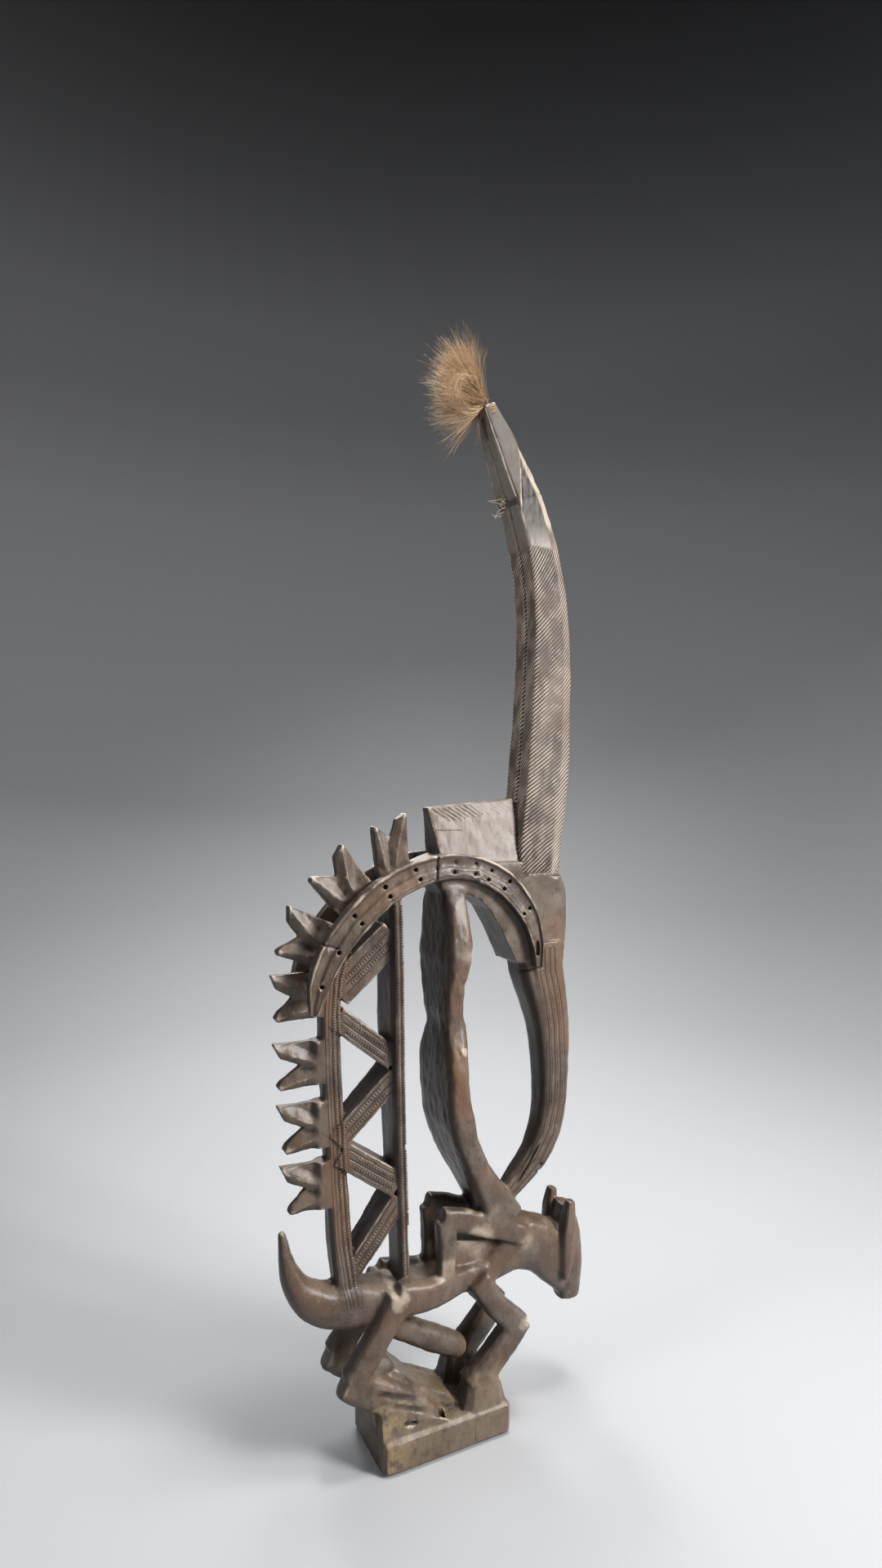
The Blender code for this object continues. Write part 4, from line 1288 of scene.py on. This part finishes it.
def make_camera():
    data = bpy.data.cameras.new("camera")
    data.lens = CAMERA_LENS
    data.sensor_width = 36
    data.sensor_fit = "AUTO"
    camera = bpy.data.objects.new("camera", data)
    camera.location = CAMERA_PLACE
    camera.rotation_euler = (radians(90), 0, radians(-CAMERA_AZIMUTH))
    bpy.context.scene.collection.objects.link(camera)
    bpy.context.scene.camera = camera


def make_studio_floor():
    """A round floor that curves up ever more steeply into a wall, pale below and dark above, a painted
    fall-off of the light up the wall.
    """
    profile = [(0.0, 0.0), (0.45, 0.0), (FLOOR_FLAT, 0.0)]
    for step in range(1, FLOOR_STEPS + 1):
        share = step / FLOOR_STEPS
        profile.append((FLOOR_FLAT + (WALL_RADIUS - FLOOR_FLAT) * share, WALL_RISE * share ** FLOOR_CURVE))
    profile.append((WALL_RADIUS + 0.1, WALL_TOP))
    rounds = FLOOR_SIDES
    points = [(0.0, 0.0, 0.0)]
    for radius, z in profile[1:]:
        for step in range(rounds):
            turn = 2 * pi * step / rounds
            points.append((radius * cos(turn), radius * sin(turn), z))
    faces = [(0, 1 + step, 1 + (step + 1) % rounds) for step in range(rounds)]
    for ring in range(len(profile) - 2):
        for step in range(rounds):
            after = (step + 1) % rounds
            low, high = 1 + ring * rounds, 1 + (ring + 1) * rounds
            faces.append((low + step, high + step, high + after, low + after))
    mesh = bpy.data.meshes.new("studio_floor")
    mesh.from_pydata(points, [], faces)
    floor = new_object("studio_floor", mesh)
    mesh.shade_smooth()
    paint = Finish("studio_paint", Roughness=0.9, Specular_IOR_Level=0.1)
    height = paint.node("ShaderNodeSeparateXYZ", None, {"Vector": paint.place()}, output="Z")
    stops = [(z / WALL_TOP, (0.985 * grey, grey, 1.03 * grey)) for z, grey in FLOOR_GREYS]
    paint.feed("Base Color", paint.node("ShaderNodeValToRGB", {"stops": stops}, {"Fac": height / WALL_TOP}))
    mesh.materials.append(paint.material)


def area_light(name, place, target, size, power, colour=(1, 1, 1), spread=180):
    """A rectangular light that points at its target; size is its width and height."""
    data = bpy.data.lights.new(name, "AREA")
    data.shape = "RECTANGLE"
    data.size, data.size_y = size
    data.energy = power
    data.color = colour
    data.spread = radians(spread)
    light = bpy.data.objects.new(name, data)
    light.location = place
    light.rotation_euler = (Vector(target) - Vector(place)).to_track_quat("-Z", "Y").to_euler()
    light.visible_camera = False
    bpy.context.scene.collection.objects.link(light)
    return light


def horn_light():
    """A narrow soft light from the left, aimed at the horns and the tuft."""
    data = bpy.data.lights.new("horn_light", "SPOT")
    data.energy = 34
    data.spot_size = radians(27)
    data.spot_blend = 0.8
    data.shadow_soft_size = 0.06
    light = bpy.data.objects.new("horn_light", data)
    light.location = (-1.25, -0.30, 1.15)
    light.rotation_euler = (Vector((0.10, 0.0, 0.79)) - light.location).to_track_quat("-Z", "Y").to_euler()
    bpy.context.scene.collection.objects.link(light)


def make_lights():
    area_light("key", (0.95, -1.15, 1.10), (0.0, 0.0, 0.45), (0.42, 0.60), 38, (1.0, 0.985, 0.965))
    area_light("top", (0.25, -0.25, 2.0), (0.0, 0.0, 0.3), (0.30, 0.30), 13)
    area_light("left", (-1.30, -0.15, 1.45), (0.0, 0.0, 0.35), (0.30, 0.40), 5.5, (0.96, 0.98, 1.0))
    area_light("back", (0.30, 1.50, 1.50), (0.0, 0.0, 0.4), (0.5, 0.5), 12)
    horn_light()
    strip = area_light("strip", (0.40, 0.80, 2.1), (0.40, 0.80, 0.0), (0.5, 2.4), 7, spread=72)
    strip.rotation_euler = (0, 0, radians(-CAMERA_AZIMUTH))
    world = bpy.data.worlds.new("studio")
    world.use_nodes = True
    world.node_tree.nodes["Background"].inputs["Color"].default_value = (0.9, 0.95, 1.0, 1)
    world.node_tree.nodes["Background"].inputs["Strength"].default_value = 0.04
    bpy.context.scene.world = world
    bpy.context.scene.view_settings.view_transform = "Standard"


make_camera()
make_studio_floor()
make_lights()
WOOD = carved_wood()
CARVING = make_carving(WOOD)
make_pads(CARVING, WOOD)
make_horn(1, WOOD)
make_horn(-1, WOOD)
make_tuft(tuft_hair())
